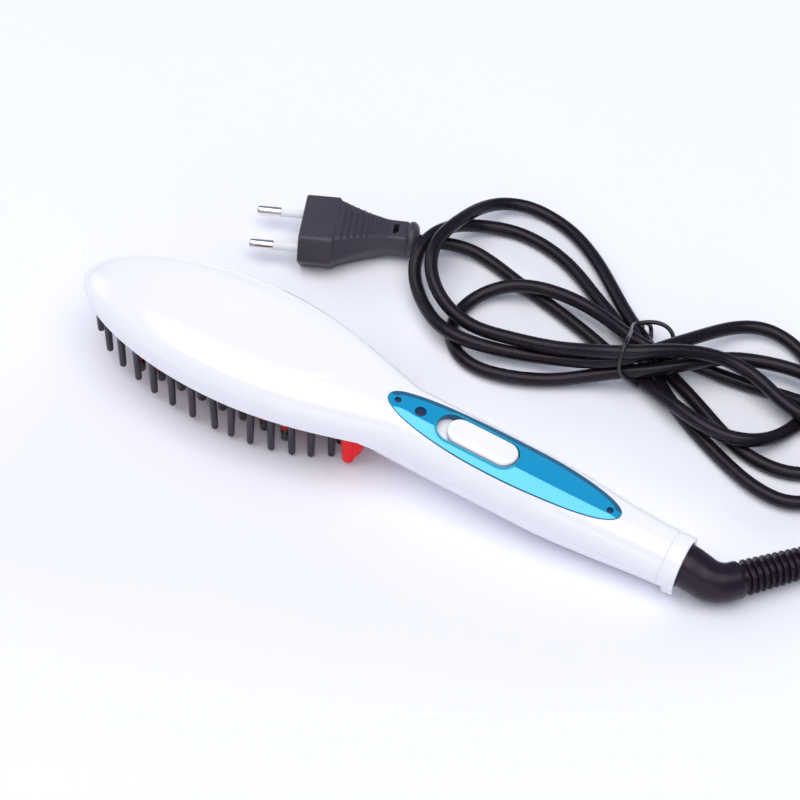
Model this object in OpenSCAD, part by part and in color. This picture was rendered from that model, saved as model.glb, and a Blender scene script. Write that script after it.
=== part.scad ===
// Electric hair-straightening brush lying on its bristles, with a swivel cord
// Millimetres, +Z up, origin on the surface under the middle of the brush.
// +X runs from the head towards the cord end of the handle.
// The brush itself is drawn level, with its bristle tips at z = 0 and its neck at x = 0,
// and placed() then tips it onto its last bristles and the foot of its end collar.

/* [Head] */
// Length of the head, from its tip to the neck
head_len = 122.5; // [110:0.5:135]
// Width of the head at its widest
head_w = 52.2; // [46:0.2:58]
// Distance from the neck back to the widest place
head_wide_x = 52; // [44:1:60]
// Height of the rim of the head above the bristle tips
rim_z = 23; // [21:0.5:26]
// Height of the domed back above the rim
dome_h = 16; // [14:0.5:18]
// Squareness of the domed back, 2 is an ellipse
dome_pow = 3.2; // [2.4:0.1:4]

/* [Handle] */
// Length of the handle, from the neck to the end of the collar
handle_len = 122.5; // [115:0.5:135]
// Diameter of the handle beside the control panel
handle_d = 26.6; // [25:0.2:28]
// Diameter of the handle at its end
end_d = 20.6; // [20:0.2:22]
// Height of the handle's centre line at the neck
neck_cz = 22.4; // [21:0.2:24]
// Drop of the handle's centre line towards its end
handle_drop = 4.8; // [3:0.2:6]
// Open seam between the two shells
seam = 0.15; // [0.1:0.05:0.25]
// Thickness of the shells
wall = 2.2; // [1.8:0.1:2.4]
// Gap between neighbouring pieces of the body
gap = 0.25; // [0.15:0.05:0.35]

/* [End collar] */
// Length of the collar ring
collar_len = 4.6; // [4:0.2:6]
// How far the foot stands out below the collar
foot_h = 0.8; // [0.4:0.1:1.4]
// Width of the foot
foot_w = 6; // [4:0.5:8]

/* [Bristles and heater] */
// Diameter of a guard bristle at its root
bristle_d = 3; // [2.6:0.1:4]
// Diameter of a guard bristle at its tip
bristle_tip_d = 2.6; // [2:0.1:3]
// Distance of the guard bristles inside the rim
ring_inset = 4.3; // [4:0.1:5]
// Distance from the widest place back to the end of the ring of bristles
ring_rear = 48; // [46:0.5:50]
// Distance between the guard bristles and the heating plate
plate_margin = 0.5; // [0.4:0.1:0.8]
// Thickness of the frame
frame_t = 2; // [1.6:0.1:2.4]
// Thickness of the heating plate
plate_t = 3; // [2.4:0.1:3.6]
// Distance between rows and columns of heater teeth
tooth_pitch = 9; // [8.4:0.1:9.4]
// Diameter of a heater tooth at its root
tooth_d = 3.3; // [3.1:0.1:3.6]
// Diameter of a heater tooth where its cap starts
tooth_tip_d = 3; // [2.6:0.1:3.4]
// Length of the cap on a heater tooth
cap_len = 7; // [5:0.5:9]
// Diameter of the cap
cap_d = 3.8; // [3.4:0.1:4.2]
// Height of the cap's end above the bristle tips
cap_clear = 1; // [0.5:0.1:2]
// Diameter of the two red feet at the neck, near their tip
stud_d = 4.6; // [4:0.2:5.2]
// Length of the ceramic heater
heater_len = 62; // [50:1:70]
// Width of the ceramic heater
heater_w = 20; // [16:1:24]
// Thickness of the ceramic heater
heater_t = 3; // [2.4:0.1:3.4]

/* [Control panel] */
// Length of the panel
panel_len = 91.4; // [86:0.2:94]
// Width of the panel
panel_w = 18.6; // [17:0.2:20]
// Distance from the neck to the middle of the panel
panel_x = 53.2; // [51:0.2:55]
// How far the panel stands proud of the handle
panel_proud = 0.3; // [0.2:0.05:0.6]
// Distance from the neck to the middle of the switch opening
slot_x = 43; // [41:0.2:45]
// Length of the switch opening
slot_len = 31.4; // [29:0.2:33]
// Width of the switch opening
slot_w = 11.8; // [11:0.1:12.4]
// Length of the switch knob
knob_len = 26.2; // [24:0.2:27]
// Width of the switch knob
knob_w = 10.6; // [9.6:0.1:10.9]
// Travel of the switch knob from off to on
knob_travel = 4; // [3:0.2:4.2]
// Diameter of the indicator lens
lens_d = 4.2; // [3.6:0.1:4.6]
// Distance from the neck to the indicator lens
lens_x = 20.8; // [20:0.1:22]
// Diameter of the two panel screws
pin_d = 2.6; // [2.2:0.1:2.8]
// Distance of the panel screws from the ends of the panel
pin_inset = 4.2; // [3.6:0.1:5]

/* [Inside the handle] */
// Length of the circuit board
board_len = 62; // [52:1:64]
// Width of the circuit board
board_w = 15; // [12:0.5:16]
// Thickness of the circuit board
board_t = 1.6; // [1.2:0.1:2]
// Distance from the neck to the head end of the board
board_x = 13; // [12:0.5:14]
// Distance from the neck to the rear shell screw
screw_x = 84; // [82:0.5:86]
// Diameter of a shell screw
screw_d = 3; // [2.6:0.1:3.2]

/* [Swivel and boot] */
// Diameter of the boot where it leaves the collar
boot_d = 15.8; // [15:0.1:16]
// Diameter of the boot in its bend
bend_d = 13.6; // [12.6:0.2:14]
// Radius of the bend's centre line
bend_r = 13; // [12:0.5:15]
// Angle of the bend
bend_a = 48; // [40:1:55]
// Length of the straight part between collar and bend
boot_straight = 8.6; // [7:0.2:11]
// Length of the ribbed sleeve
sleeve_len = 31; // [26:0.5:34]
// Diameter of the first rib
rib_d0 = 12.4; // [12:0.1:13]
// Diameter of the last rib
rib_d1 = 10.6; // [10:0.1:11.4]
// Number of ribs
rib_n = 11; // [9:1:12]
// How deep the grooves between the ribs are
rib_deep = 1; // [0.6:0.1:1.4]
// Diameter of the swivel neck inside the socket
swivel_d = 9.9; // [9:0.1:10.4]
// Running clearance of the swivel neck, on the radius
swivel_fit = 0.05; // [0.03:0.01:0.1]
// Length of the swivel socket
socket_len = 8; // [6:0.5:9]

/* [Mains cord and plug] */
// Diameter of the cord
cord_d = 5.2; // [5:0.1:6]
// Width of the plug's body
plug_w = 31; // [29:0.5:36]
// Thickness of the plug's body
plug_h = 15; // [13.6:0.2:16]
// Width of the flat on the plug's body
plug_flat = 23; // [20:0.5:24]
// Length of the plug's body with its neck and ring
plug_len = 44; // [42:0.5:48]
// Length of the straight front of the plug's body
plug_front = 12.5; // [11:0.5:14]
// Diameter of a plug pin
pin_dia = 4; // [3.9:0.05:4.1]
// Distance between the pins at the plug's face
pin_gap = 18.6; // [18:0.1:19.2]
// Length of a plug pin
pin_len = 19; // [18.5:0.1:19.5]
// Length of the insulating sleeve on a pin
pin_sleeve = 10; // [9.5:0.1:10.5]

/* [Hidden] */
$fn = 48;

// Outline functions -----------------------------------------------------------
handle_r = handle_d / 2;
end_r = end_d / 2;
// The neck runs into the handle here
neck_x = 14;
// The centre line of the handle is straight from here on
level_x = 100;
// The taper of the handle starts and ends here
taper_x0 = 66;
taper_x1 = handle_len - 2;
function clamp01(v) = max(0, min(1, v));
function smooth(v) = clamp01(v) * clamp01(v) * (3 - 2 * clamp01(v));
// 0 at the tip of the head, 90 where the head is widest
function tip_a(x, off = 0) =
    acos(clamp01((-head_wide_x - x) / (head_len - head_wide_x - off)));
// 1 where the head is widest, 0 where the neck has become the handle
function neck_f(x) =
    pow(max(0, 1 - pow(clamp01((x + head_wide_x) / (neck_x + head_wide_x)), 2)), 1.25);
function handle_rad(x) =
    handle_r - (handle_r - end_r) * smooth((x - taper_x0) / (taper_x1 - taper_x0));
function centre_z(x) =
    neck_cz - handle_drop * (1 - pow(1 - clamp01((x - 8) / (level_x - 8)), 1.2));
function half_w(x, off = 0) = x < -head_wide_x
    ? max(0.2, (head_w / 2 - off) * pow(sin(tip_a(x, off)), 1.14))
    : handle_rad(x) - off + (head_w / 2 - handle_r) * neck_f(x);
function part_z(x) = centre_z(x) + (rim_z - neck_cz) * neck_f(x);
function top_h(x, off = 0) = x < -head_wide_x
    ? max(0.2, (dome_h - off) * pow(sin(tip_a(x, off)), 0.9))
    : handle_rad(x) - off + (dome_h - handle_r) * neck_f(x);
function square(x) = x < -head_wide_x ? dome_pow : 2 + (dome_pow - 2) * neck_f(x);
function top_z(x) = part_z(x) + top_h(x);
function bottom_h(x, off = 0) =
    max(0.4, (handle_rad(x) - 1.6) * smooth((x - belly_x + 3) / 14) + 1.6 - off);
function curve(v, p) = sign(v) * pow(abs(v), 2 / p);

// The front shell's belly starts here
belly_x = 4;
// The shells end and the collar starts here
shell_end = handle_len - collar_len - gap;

// Stations along the body and the corners of one arc
tip_angles = [2, 6, 12, 19, 27, 36, 45, 54, 64, 73, 82];
tip_x = [for (a = tip_angles) -head_wide_x - (head_len - head_wide_x) * cos(a)];
neck_n = 9;
mid_x = [for (i = [0:neck_n - 1]) -head_wide_x + i * (neck_x + head_wide_x) / neck_n];
rear_n = 13;
rear_x = [for (i = [0:rear_n]) neck_x + i * (shell_end - neck_x) / rear_n];
body_x = concat(tip_x, mid_x, rear_x);
arc_n = 18;
function arc_pts(x, w, h, up, rev) = [for (i = [0:arc_n])
    let (a = (rev ? arc_n - i : i) * 180 / arc_n)
    [x, w * curve(cos(a), square(x)), part_z(x) + up * h * curve(sin(a), square(x))]];
// Rings joined by strips, and each end closed by a strip across its ring
function cap_faces(k, n, up) = [for (j = [0:floor((n - 1) / 2) - 1])
    let (f = j + 1 < n - 2 - j ? [j, j + 1, n - 2 - j, n - 1 - j] : [j, j + 1, n - 1 - j])
    [for (i = [0:len(f) - 1]) k + f[up ? i : len(f) - 1 - i]]];
function loft_faces(m, n) = concat(
    [for (i = [0:m - 2]) for (j = [0:n - 1])
        [i * n + j, (i + 1) * n + j, (i + 1) * n + (j + 1) % n, i * n + (j + 1) % n]],
    cap_faces(0, n, true), cap_faces((m - 1) * n, n, false));
module loft(rings)
    polyhedron(points = [for (r = rings) each r],
        faces = loft_faces(len(rings), len(rings[0])), convexity = 8);

// The upper and lower walls of the body, between two offsets from its outside
module upper_wall(xs, o1, o2)
    loft([for (x = xs) concat(
        arc_pts(x, half_w(x, o1), top_h(x, o1), 1, false),
        arc_pts(x, half_w(x, o2), top_h(x, o2), 1, true))]);
module lower_wall(xs, o1, o2)
    translate([0, 0, -seam]) loft([for (x = xs) concat(
        arc_pts(x, half_w(x, o1), bottom_h(x, o1), -1, true),
        arc_pts(x, half_w(x, o2), bottom_h(x, o2), -1, false))]);

// One side of a flat outline inside the head: an offset from its side and from its tip,
// then either along the neck up to x_end or round an ellipse of length rear
function front_side(off, tip) = [for (a = [2, 9, 17, 26, 36, 47, 60, 75])
    [-head_wide_x - (head_len - head_wide_x - tip) * cos(a),
     (head_w / 2 - off) * pow(sin(a), 1.14)]];
function neck_side(off, x_end) = [for (i = [0:8])
    let (x = -head_wide_x + i * (x_end + head_wide_x) / 8) [x, half_w(x, off)]];
function ring_side(off, rear) = [for (a = [0:7.5:90])
    [-head_wide_x + rear * sin(a), (head_w / 2 - off) * cos(a)]];
module both_sides(side)
    polygon(concat(side, [for (i = [len(side) - 1:-1:0]) [side[i][0], -side[i][1]]]));

// Placement of the brush on the surface ----------------------------------------
// Guard bristles stand on a ring inside the rim, closer together towards its two ends
ring_tip = ring_inset + 1.2;
ring_front = head_len - head_wide_x - ring_tip;
front_f = [0.969, 0.838, 0.708, 0.577, 0.446, 0.308, 0.164, 0.025];
// Behind the widest place they run to the last one, which stands clear of the red feet
studs = [-2, 11.1];
stud_room = 8;
rear_span = head_wide_x + studs[0] - stud_room;
rear_f = [0.16, 0.343, 0.52, 0.6915, 0.8515, 1];
function ring_y(v) = (head_w / 2 - ring_inset) * v;
bristles = concat(
    [for (f = front_f) [-head_wide_x - ring_front * f, ring_y(pow(sin(acos(f)), 1.14))]],
    [for (f = rear_f) [-head_wide_x + rear_span * f,
        ring_y(sqrt(1 - pow(rear_span * f / ring_rear, 2)))]]);
rest_x = bristles[len(bristles) - 1][0];
foot_z = centre_z(handle_len) - end_r - foot_h;
lay_tilt = atan2(foot_z, handle_len - rest_x);
lay_z = rest_x * sin(lay_tilt) + bristle_tip_d / 2 * (1 - cos(lay_tilt));
mid_shift = (handle_len - head_len) / 2;
lay_x = -mid_shift * cos(lay_tilt) - (rim_z + centre_z(handle_len) + end_r) / 2 * sin(lay_tilt);
module placed() translate([lay_x, 0, lay_z]) rotate([0, lay_tilt, 0]) children();

// Shells -------------------------------------------------------------------------
// Flat outline of the control panel, grown by a margin
module panel_outline(grow = 0)
    polygon([for (a = [0:7.5:352.5])
        [panel_x + (panel_len / 2 + grow) * curve(cos(a), 2.2),
         (panel_w / 2 + grow) * curve(sin(a), 2.2)]]);
panel_pins = [panel_x - panel_len / 2 + pin_inset, panel_x + panel_len / 2 - pin_inset];
bridge_t = 2.4;
bridge_w = 7;
bridge_len = 4.4;
// Under face of the bridge that takes a panel screw
function bridge_z(x) = top_z(x) - wall - 2 - bridge_t;
// Offsets and ends of the heating plate, inside the ring of bristles
plate_off = ring_inset + bristle_d / 2 + plate_margin;
plate_tip = ring_tip + bristle_d / 2 + plate_margin;
plate_rear = ring_rear - bristle_d / 2 - plate_margin;
plate_ends = [plate_tip - head_len, plate_rear - head_wide_x];
// Teeth stand in two pairs of rows; columns are counted from the last one towards the tip
row_y = [0.5 * tooth_pitch, 1.5 * tooth_pitch];
tooth_last = plate_ends[1] - 0.4 * tooth_pitch;
tooth_cols = floor((tooth_last - plate_ends[0]) / tooth_pitch - 1.4);
row_cols = [[0, tooth_cols], [2, tooth_cols - 1]];
teeth = [for (r = [0:1]) for (i = [row_cols[r][0]:row_cols[r][1]]) for (s = [-1, 1])
    [tooth_last - i * tooth_pitch, s * row_y[r]]];
// Posts that hold the plate, at these distances from its ends
post_d = 6;
post_inset = [19.9, 8.1];
posts = [plate_ends[0] + post_inset[0], plate_ends[1] - post_inset[1]];
boss_d = 5.8;
front_screw_x = belly_x + boss_d / 2;
screws = [front_screw_x, screw_x];
screw_grip = 5;
plate_z = rim_z + 1.2;
module boss(x, h) difference() {
    translate([x, 0, part_z(x) + 0.4]) cylinder(d = boss_d, h = h);
    translate([x, 0, part_z(x)]) cylinder(d = screw_d, h = screw_grip + 0.4);
}
module back_shell() placed() color("white") {
    difference() {
        upper_wall(body_x, 0, wall);
        translate([0, 0, rim_z]) linear_extrude(dome_h + handle_r) panel_outline(0.15);
    }
    for (x = panel_pins) difference() {
        translate([x - bridge_len / 2, -bridge_w, bridge_z(x)])
            cube([bridge_len, 2 * bridge_w, bridge_t]);
        translate([x, 0, bridge_z(x) - 1]) cylinder(d = pin_d - 1, h = bridge_t + 2);
    }
    for (x = posts) difference() {
        translate([x, 0, plate_z + plate_t + 0.1])
            cylinder(d = post_d, h = top_z(x) - wall / 2 - plate_z - plate_t);
        translate([x, 0, plate_z + plate_t]) cylinder(d = screw_d, h = screw_grip + 2);
    }
    // The rear boss hangs from a bridge across the shell, the front one from its roof
    boss(screw_x, screw_grip + 0.4);
    rear_w = sqrt(pow(handle_rad(screw_x) - wall / 2, 2) - pow(screw_grip + 1.6, 2));
    translate([screw_x - 3, -rear_w, part_z(screw_x) + screw_grip + 0.4])
        cube([6, 2 * rear_w, 1.2]);
    boss(front_screw_x, top_h(front_screw_x) - wall - 2.4);
    translate([belly_x, -boss_d / 2, part_z(front_screw_x) + screw_grip + 0.8])
        cube([3, boss_d, top_h(front_screw_x) - screw_grip - wall / 2 - 0.8]);
}

belly_n = 16;
belly_list = [for (i = [0:belly_n]) belly_x + pow(i / belly_n, 1.3) * (shell_end - belly_x)];
// Height of the outside of the belly on the middle line
function belly_z(x) = part_z(x) - bottom_h(x);
board_z = centre_z(board_x + board_len) - 1.4;
stand_x = [board_x + 8, board_x + board_len - 8];
module front_shell() placed() color("white") difference() {
    union() {
        lower_wall(belly_list, 0, wall);
        translate([belly_x, 0, 0]) intersection() {
            translate([0.2, -15, 0]) cube([2.2, 30, rim_z]);
            translate([-belly_x, 0, 0]) lower_core();
        }
        for (x = screws) translate([x, 0, belly_z(x) + 0.8])
            cylinder(d = boss_d, h = part_z(x) - belly_z(x) - 1);
        for (x = stand_x) translate([x, 0, belly_z(x) + 0.8])
            cylinder(d = 4, h = board_z - belly_z(x) - 0.9);
    }
    for (x = screws) translate([x, 0, belly_z(x) - 2]) {
        cylinder(d = screw_d + 0.4, h = 30);
        cylinder(d = screw_d * 2 + 0.4, h = 3.4);
    }
}
// The solid inside of the lower half, for parts that close it
module lower_core()
    loft([for (x = belly_list) arc_pts(x, half_w(x, 0.4), bottom_h(x, 0.4), -1, true)]);

// The collar ring with its foot
bore_r = boot_d / 2 + gap;
module end_collar() placed() color("white")
    translate([handle_len - collar_len, 0, centre_z(handle_len)]) difference() {
        union() {
            rotate([0, 90, 0]) cylinder(r = end_r, h = collar_len);
            translate([0, -foot_w / 2, -end_r - foot_h])
                cube([collar_len, foot_w, foot_h + 3]);
        }
        translate([-1, 0, 0]) rotate([0, 90, 0]) cylinder(r = bore_r, h = collar_len + 2);
    }

// Control panel and switch ---------------------------------------------------------
// Slope of the top of the handle along the switch opening
slot_x0 = slot_x - slot_len / 2;
slot_x1 = slot_x + slot_len / 2;
slot_a = atan2(top_z(slot_x0) - top_z(slot_x1), slot_len);
module on_slot() translate([slot_x, 0, top_z(slot_x)]) rotate([0, slot_a, 0]) children();
module pill(l, w, h)
    linear_extrude(h) hull()
        for (s = [-1, 1]) translate([s * (l - w) / 2, 0]) circle(d = w, $fn = 40);
// Corners of the panel's outline on one side, and the surface of the back at an offset
panel_a = [180:-7.5:0];
function back_z(x, y, off) = part_z(x) + top_h(x, off)
    * pow(max(0, 1 - pow(abs(y) / half_w(x, off), square(x))), 1 / square(x));
panel_cols = 8;
function panel_row(x, w, off, rev) = [for (j = [0:panel_cols])
    let (y = w * (rev ? -1 : 1) * (1 - 2 * j / panel_cols)) [x, y, back_z(x, y, off)]];
module panel_blank()
    loft([for (a = panel_a)
        let (x = panel_x + panel_len / 2 * curve(cos(a), 2.2))
        let (w = max(0.3, panel_w / 2 * curve(sin(a), 2.2)))
        concat(panel_row(x, w, -panel_proud, false), panel_row(x, w, wall - 0.2, true))]);
module control_panel() placed() color("deepskyblue") difference() {
    panel_blank();
    on_slot() translate([0, 0, -8]) pill(slot_len, slot_w, 16);
    for (x = panel_pins) translate([x, 0, top_z(x) - 6]) {
        cylinder(d = pin_d - 0.8, h = 8);
        translate([0, 0, 5.2]) cylinder(d = pin_d + 0.2, h = 4);
    }
    translate([lens_x, 0, top_z(lens_x) - 6]) cylinder(d = lens_d + 0.2, h = 9);
}
module panel_screws() placed() color("midnightblue")
    for (x = panel_pins) translate([x, 0, 0]) {
        translate([0, 0, top_z(x) - 0.7]) cylinder(d = pin_d, h = 0.8 + panel_proud / 2);
        translate([0, 0, bridge_z(x) - 0.5])
            cylinder(d = pin_d - 1.05, h = top_z(x) - bridge_z(x));
    }
module indicator_lens() placed() color("midnightblue")
    translate([lens_x, 0, top_z(lens_x) - wall]) cylinder(d = lens_d, h = wall + 0.2);

// The knob rests at the cord end of its opening; its joint moves it to the head end
knob_end_gap = (slot_len - knob_len - knob_travel) / 2;
knob_x = (slot_len - knob_len) / 2 - knob_end_gap;
knob_top = 1.4;
skirt_w = 8.6;
skirt_len = slot_len + knob_travel + 1.4;
skirt_z = -4.5;
skirt_t = 0.9;
module slide_knob() placed() color("white") on_slot() translate([knob_x, 0, 0]) {
    translate([0, 0, skirt_z + skirt_t / 2]) intersection() {
        pill(knob_len, knob_w, knob_top - skirt_z);
        translate([0, 0, -16.2]) rotate([0, 90, 0])
            cylinder(r = 16.2 + knob_top - skirt_z - skirt_t / 2, h = 60, center = true, $fn = 96);
    }
    translate([-skirt_len / 2, -skirt_w / 2, skirt_z]) cube([skirt_len, skirt_w, skirt_t]);
    translate([-2, -1.4, skirt_z - 1.6]) cube([4, 2.8, 2]);
}
switch_len = 22;
switch_w = 9;
switch_h = 5.4;
module slide_switch() placed() color("dimgray") on_slot() translate([0, 0, skirt_z - 0.3]) {
    difference() {
        translate([-switch_len / 2, -switch_w / 2, -switch_h])
            cube([switch_len, switch_w, switch_h]);
        translate([knob_x - knob_travel - 2.4, -1.8, -1.8])
            cube([knob_travel + 4.8, 3.6, 3]);
    }
    for (x = [-8, 8]) for (y = [-3, 3])
        translate([x, y, -switch_h - 1.6]) cylinder(d = 1, h = 1.7);
}

// Bristles, heating plate and teeth -----------------------------------------------
frame_off = wall + gap;
frame_z = rim_z + 0.3;
frame_end = belly_x - gap;
module plate_outline(grow = 0)
    both_sides(concat(front_side(plate_off - grow, plate_tip - grow),
        ring_side(plate_off - grow, plate_rear + grow)));
module bristle_frame() placed() color("#2f2d33") difference() {
    translate([0, 0, frame_z]) linear_extrude(frame_t) difference() {
        both_sides(concat(front_side(frame_off, frame_off + 1.4), neck_side(frame_off + 0.2, frame_end)));
        plate_outline(gap);
    }
    for (b = bristles) for (s = [-1, 1]) translate([b[0], s * b[1], frame_z - 1])
        cylinder(d = bristle_d - 1, h = frame_t + 2);
    for (s = [-1, 1]) translate([studs[0], s * studs[1], frame_z - 1])
        cylinder(d = stud_d + 0.2, h = frame_t + 2);
}
module one_bristle() {
    translate([0, 0, bristle_tip_d / 2]) sphere(d = bristle_tip_d, $fn = 24);
    translate([0, 0, bristle_tip_d / 2])
        cylinder(d1 = bristle_tip_d, d2 = bristle_d, h = frame_z - bristle_tip_d / 2, $fn = 24);
    translate([0, 0, frame_z - 0.1])
        cylinder(d = bristle_d - 1.1, h = frame_t + 0.1, $fn = 24);
}
module guard_bristles() placed() color("#45424a")
    for (b = bristles) for (s = [-1, 1]) translate([b[0], s * b[1], 0]) one_bristle();

// A tooth's pegs into the plate and into its cap, and the holes for them
peg_d = 0.6 * tooth_d;
peg_len = plate_t / 2;
cap_peg_d = 2;
cap_peg_len = 4;
peg_fit = 0.1;
module heating_plate() placed() color("crimson") difference() {
    translate([0, 0, plate_z]) linear_extrude(plate_t) plate_outline();
    for (t = teeth) translate([t[0], t[1], plate_z - 1])
        cylinder(d = peg_d + peg_fit, h = peg_len + 1);
    for (x = posts) translate([x, 0, plate_z - 1]) cylinder(d = screw_d + 0.3, h = plate_t + 2);
}
cap_top = cap_clear + cap_len;
module heater_teeth() placed() color("crimson") for (t = teeth)
    translate([t[0], t[1], 0]) {
        translate([0, 0, cap_top]) cylinder(d1 = tooth_tip_d, d2 = tooth_d,
            h = plate_z - cap_top, $fn = 24);
        translate([0, 0, plate_z - peg_fit]) cylinder(d = peg_d, h = peg_len, $fn = 24);
        translate([0, 0, cap_top - cap_peg_len])
            cylinder(d = cap_peg_d, h = cap_peg_len + peg_fit, $fn = 24);
    }
module tooth_caps() placed() color("#1d1c20") for (t = teeth)
    translate([t[0], t[1], 0]) difference() {
        union() {
            translate([0, 0, cap_clear + cap_d / 2]) sphere(d = cap_d, $fn = 24);
            translate([0, 0, cap_clear + cap_d / 2])
                cylinder(d = cap_d, h = cap_len - cap_d / 2 - 0.05, $fn = 24);
        }
        translate([0, 0, cap_top - cap_peg_len - peg_fit])
            cylinder(d = cap_peg_d + peg_fit, h = cap_peg_len + 1, $fn = 24);
    }
// The two red feet beside the neck
stud_z = 2.6;
module neck_studs() placed() color("red") for (s = [-1, 1])
    translate([studs[0], s * studs[1], 0]) {
        translate([0, 0, stud_z + stud_d / 2]) sphere(d = stud_d, $fn = 32);
        translate([0, 0, stud_z + stud_d / 2])
            cylinder(d1 = stud_d, d2 = stud_d + 2.6, h = frame_z - stud_z - stud_d / 2 - 0.2, $fn = 32);
        translate([0, 0, frame_z - 0.3]) cylinder(d = stud_d, h = frame_t, $fn = 32);
    }

// Heater stack --------------------------------------------------------------------
heater_x = (posts[0] + posts[1]) / 2;
heater_z = plate_z + plate_t + 0.1;
sheet_t = 0.4;
clamp_t = 0.8;
clamp_w = 10;
module ceramic_heater() placed() color("ivory")
    translate([heater_x - heater_len / 2, -heater_w / 2, heater_z])
        cube([heater_len, heater_w, heater_t]);
module insulating_sheet() placed() color("goldenrod")
    translate([heater_x - heater_len / 2, -heater_w / 2 - 1, heater_z + heater_t + 0.1])
        cube([heater_len, heater_w + 2, sheet_t]);
clamp_z = heater_z + heater_t + sheet_t + 0.2;
module heater_clamp() placed() color("silver") difference() {
    translate([posts[0] - clamp_w / 2, -clamp_w / 2, clamp_z])
        cube([posts[1] - posts[0] + clamp_w, clamp_w, clamp_t]);
    for (x = posts) translate([x, 0, clamp_z - 1]) cylinder(d = post_d + 0.5, h = clamp_t + 2);
}
head_t = 1.7;
module plate_screws() placed() color("silver") for (x = posts) translate([x, 0, 0]) {
    translate([0, 0, plate_z - head_t - 0.1]) cylinder(d = screw_d * 1.65, h = head_t);
    translate([0, 0, plate_z - 0.2]) cylinder(d = screw_d - 0.1, h = plate_t + screw_grip + 1);
}
fuse_d = 4;
fuse_len = 12;
module thermal_fuse() placed() color("lightgray")
    translate([heater_x - heater_len / 4, 0, clamp_z + clamp_t + fuse_d / 2 + 0.1])
        rotate([0, 90, 0]) {
            cylinder(d = fuse_d, h = fuse_len, center = true);
            cylinder(d = fuse_d / 4, h = 2 * fuse_len, center = true);
        }
bead_d = 3;
module thermistor() placed() color("darkorange")
    translate([heater_x + heater_len / 3, 0, clamp_z + clamp_t + bead_d / 2 + 0.1]) {
        sphere(d = bead_d, $fn = 32);
        rotate([0, 90, 0]) cylinder(d = bead_d / 3, h = 3 * bead_d);
    }

// Electronics ---------------------------------------------------------------------
module circuit_board() placed() color("darkgreen")
    translate([board_x, -board_w / 2, board_z]) cube([board_len, board_w, board_t]);
part_z0 = board_z + board_t + 0.1;
// Parts on the board: distance from its head end, and size
capacitor = [45, 6.3, 7];
relay = [51, [9, 8, 5]];
driver = [4, [6, 4, 3]];
resistor = [13, [3.2, 1.8, 1.2]];
diode = [32, [5, 1.6, 1]];
module board_parts() placed() color("slategray") {
    translate([board_x + capacitor[0], 0, part_z0]) cylinder(d = capacitor[1], h = capacitor[2]);
    translate([board_x + relay[0], -relay[1][1] / 2, part_z0]) cube(relay[1]);
    translate([board_x + driver[0], board_w / 10, part_z0]) cube(driver[1]);
    for (i = [-2:1]) translate([board_x + resistor[0], i * board_w / 4.4 + 0.8, part_z0])
        cube(resistor[1]);
    for (s = [-1, 1])
        translate([board_x + diode[0], s * 0.3 * board_w - diode[1][1] / 2, board_z - diode[1][2] - 0.1])
            cube(diode[1]);
}
led_d = 3;
module indicator_led() placed() color("gold") translate([lens_x, 0, 0]) {
    translate([0, 0, part_z0]) cylinder(d = 1.2, h = top_z(lens_x) - wall - part_z0 - 4);
    translate([0, 0, top_z(lens_x) - wall - 4.2]) cylinder(d = led_d, h = 4);
}

// A round cord or lead along points, its first face square to v0
function unit(v) = v / norm(v);
function ring_at(p, v, r) = let (a = unit(cross(v, [0, 0, 1])), b = cross(a, v))
    [for (i = [0:9]) p + r * (cos(36 * i) * a - sin(36 * i) * b)];
module tube(pts, r, v0)
    loft([for (i = [0:len(pts) - 1])
        let (v = i == 0 ? v0 : unit(pts[min(i + 1, len(pts) - 1)] - pts[i - 1]))
        ring_at(pts[i], v, r)]);
lead_z = board_z + board_t + 0.9;
module heater_leads() placed() color("firebrick") for (s = [-1, 1])
    tube([[board_x + 3, s * 6.4, lead_z], [board_x - 1, s * 6.4, lead_z + 1.4],
        [5, s * 6.4, frame_z + frame_t + 2], [-6, s * 6, heater_z + heater_t - 0.6],
        [heater_x + heater_len / 2 + 0.2, s * 5.6, heater_z + heater_t / 2]], 0.7, [-1, 0, 0]);
module mains_leads() placed() color("saddlebrown") for (s = [-1, 1])
    tube([[board_x + board_len - 2, s * 5, board_z - 0.9], [screw_x - 4, s * 5.4, board_z - 0.9],
        [screw_x + 4, s * 5.4, centre_z(handle_len) - 3],
        [block_x - 0.6, s * 3.2, centre_z(handle_len) - 6.2]], 0.8, [1, 0, 0]);
module shell_screws() placed() color("silver") for (x = screws) translate([x, 0, belly_z(x)]) {
    translate([0, 0, 0.4]) cylinder(d = screw_d * 2, h = 0.9);
    translate([0, 0, 0.8])
        cylinder(d = screw_d - 0.1, h = part_z(x) + screw_grip - 0.8 - belly_z(x));
}

// Swivel --------------------------------------------------------------------------
// The swivel turns about the handle's centre line; its frame starts at the collar's end
module on_swivel() translate([handle_len, 0, centre_z(handle_len)]) children();
base_len = collar_len - 0.4;
socket_x1 = -collar_len - gap - 0.4;
socket_x0 = socket_x1 - socket_len;
shell_in = end_r - wall;
module along(x0, x1, r0, r1)
    translate([x0, 0, 0]) rotate([0, 90, 0]) cylinder(r1 = r0, r2 = r1, h = x1 - x0);
module swivel_socket() placed() color("whitesmoke") on_swivel() difference() {
    along(socket_x0, socket_x1, shell_in - 0.2, shell_in - 0.2);
    along(socket_x0 - 1, socket_x1 + 1, swivel_d / 2 + swivel_fit, swivel_d / 2 + swivel_fit);
}
stop_r = shell_in - 1;
stop_t = 2;
ring_x = [socket_x0 - stop_t - 4.4, socket_x0 - stop_t - 8.4];
ring_r = 3.6;
stub_r = 2.4;
block_x = handle_len + ring_x[1] - 3.4;
module contact_block() placed() color("beige")
    translate([block_x, -4.2, centre_z(handle_len) - 7.2]) cube([9.4, 8.4, 1.8]);
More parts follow.
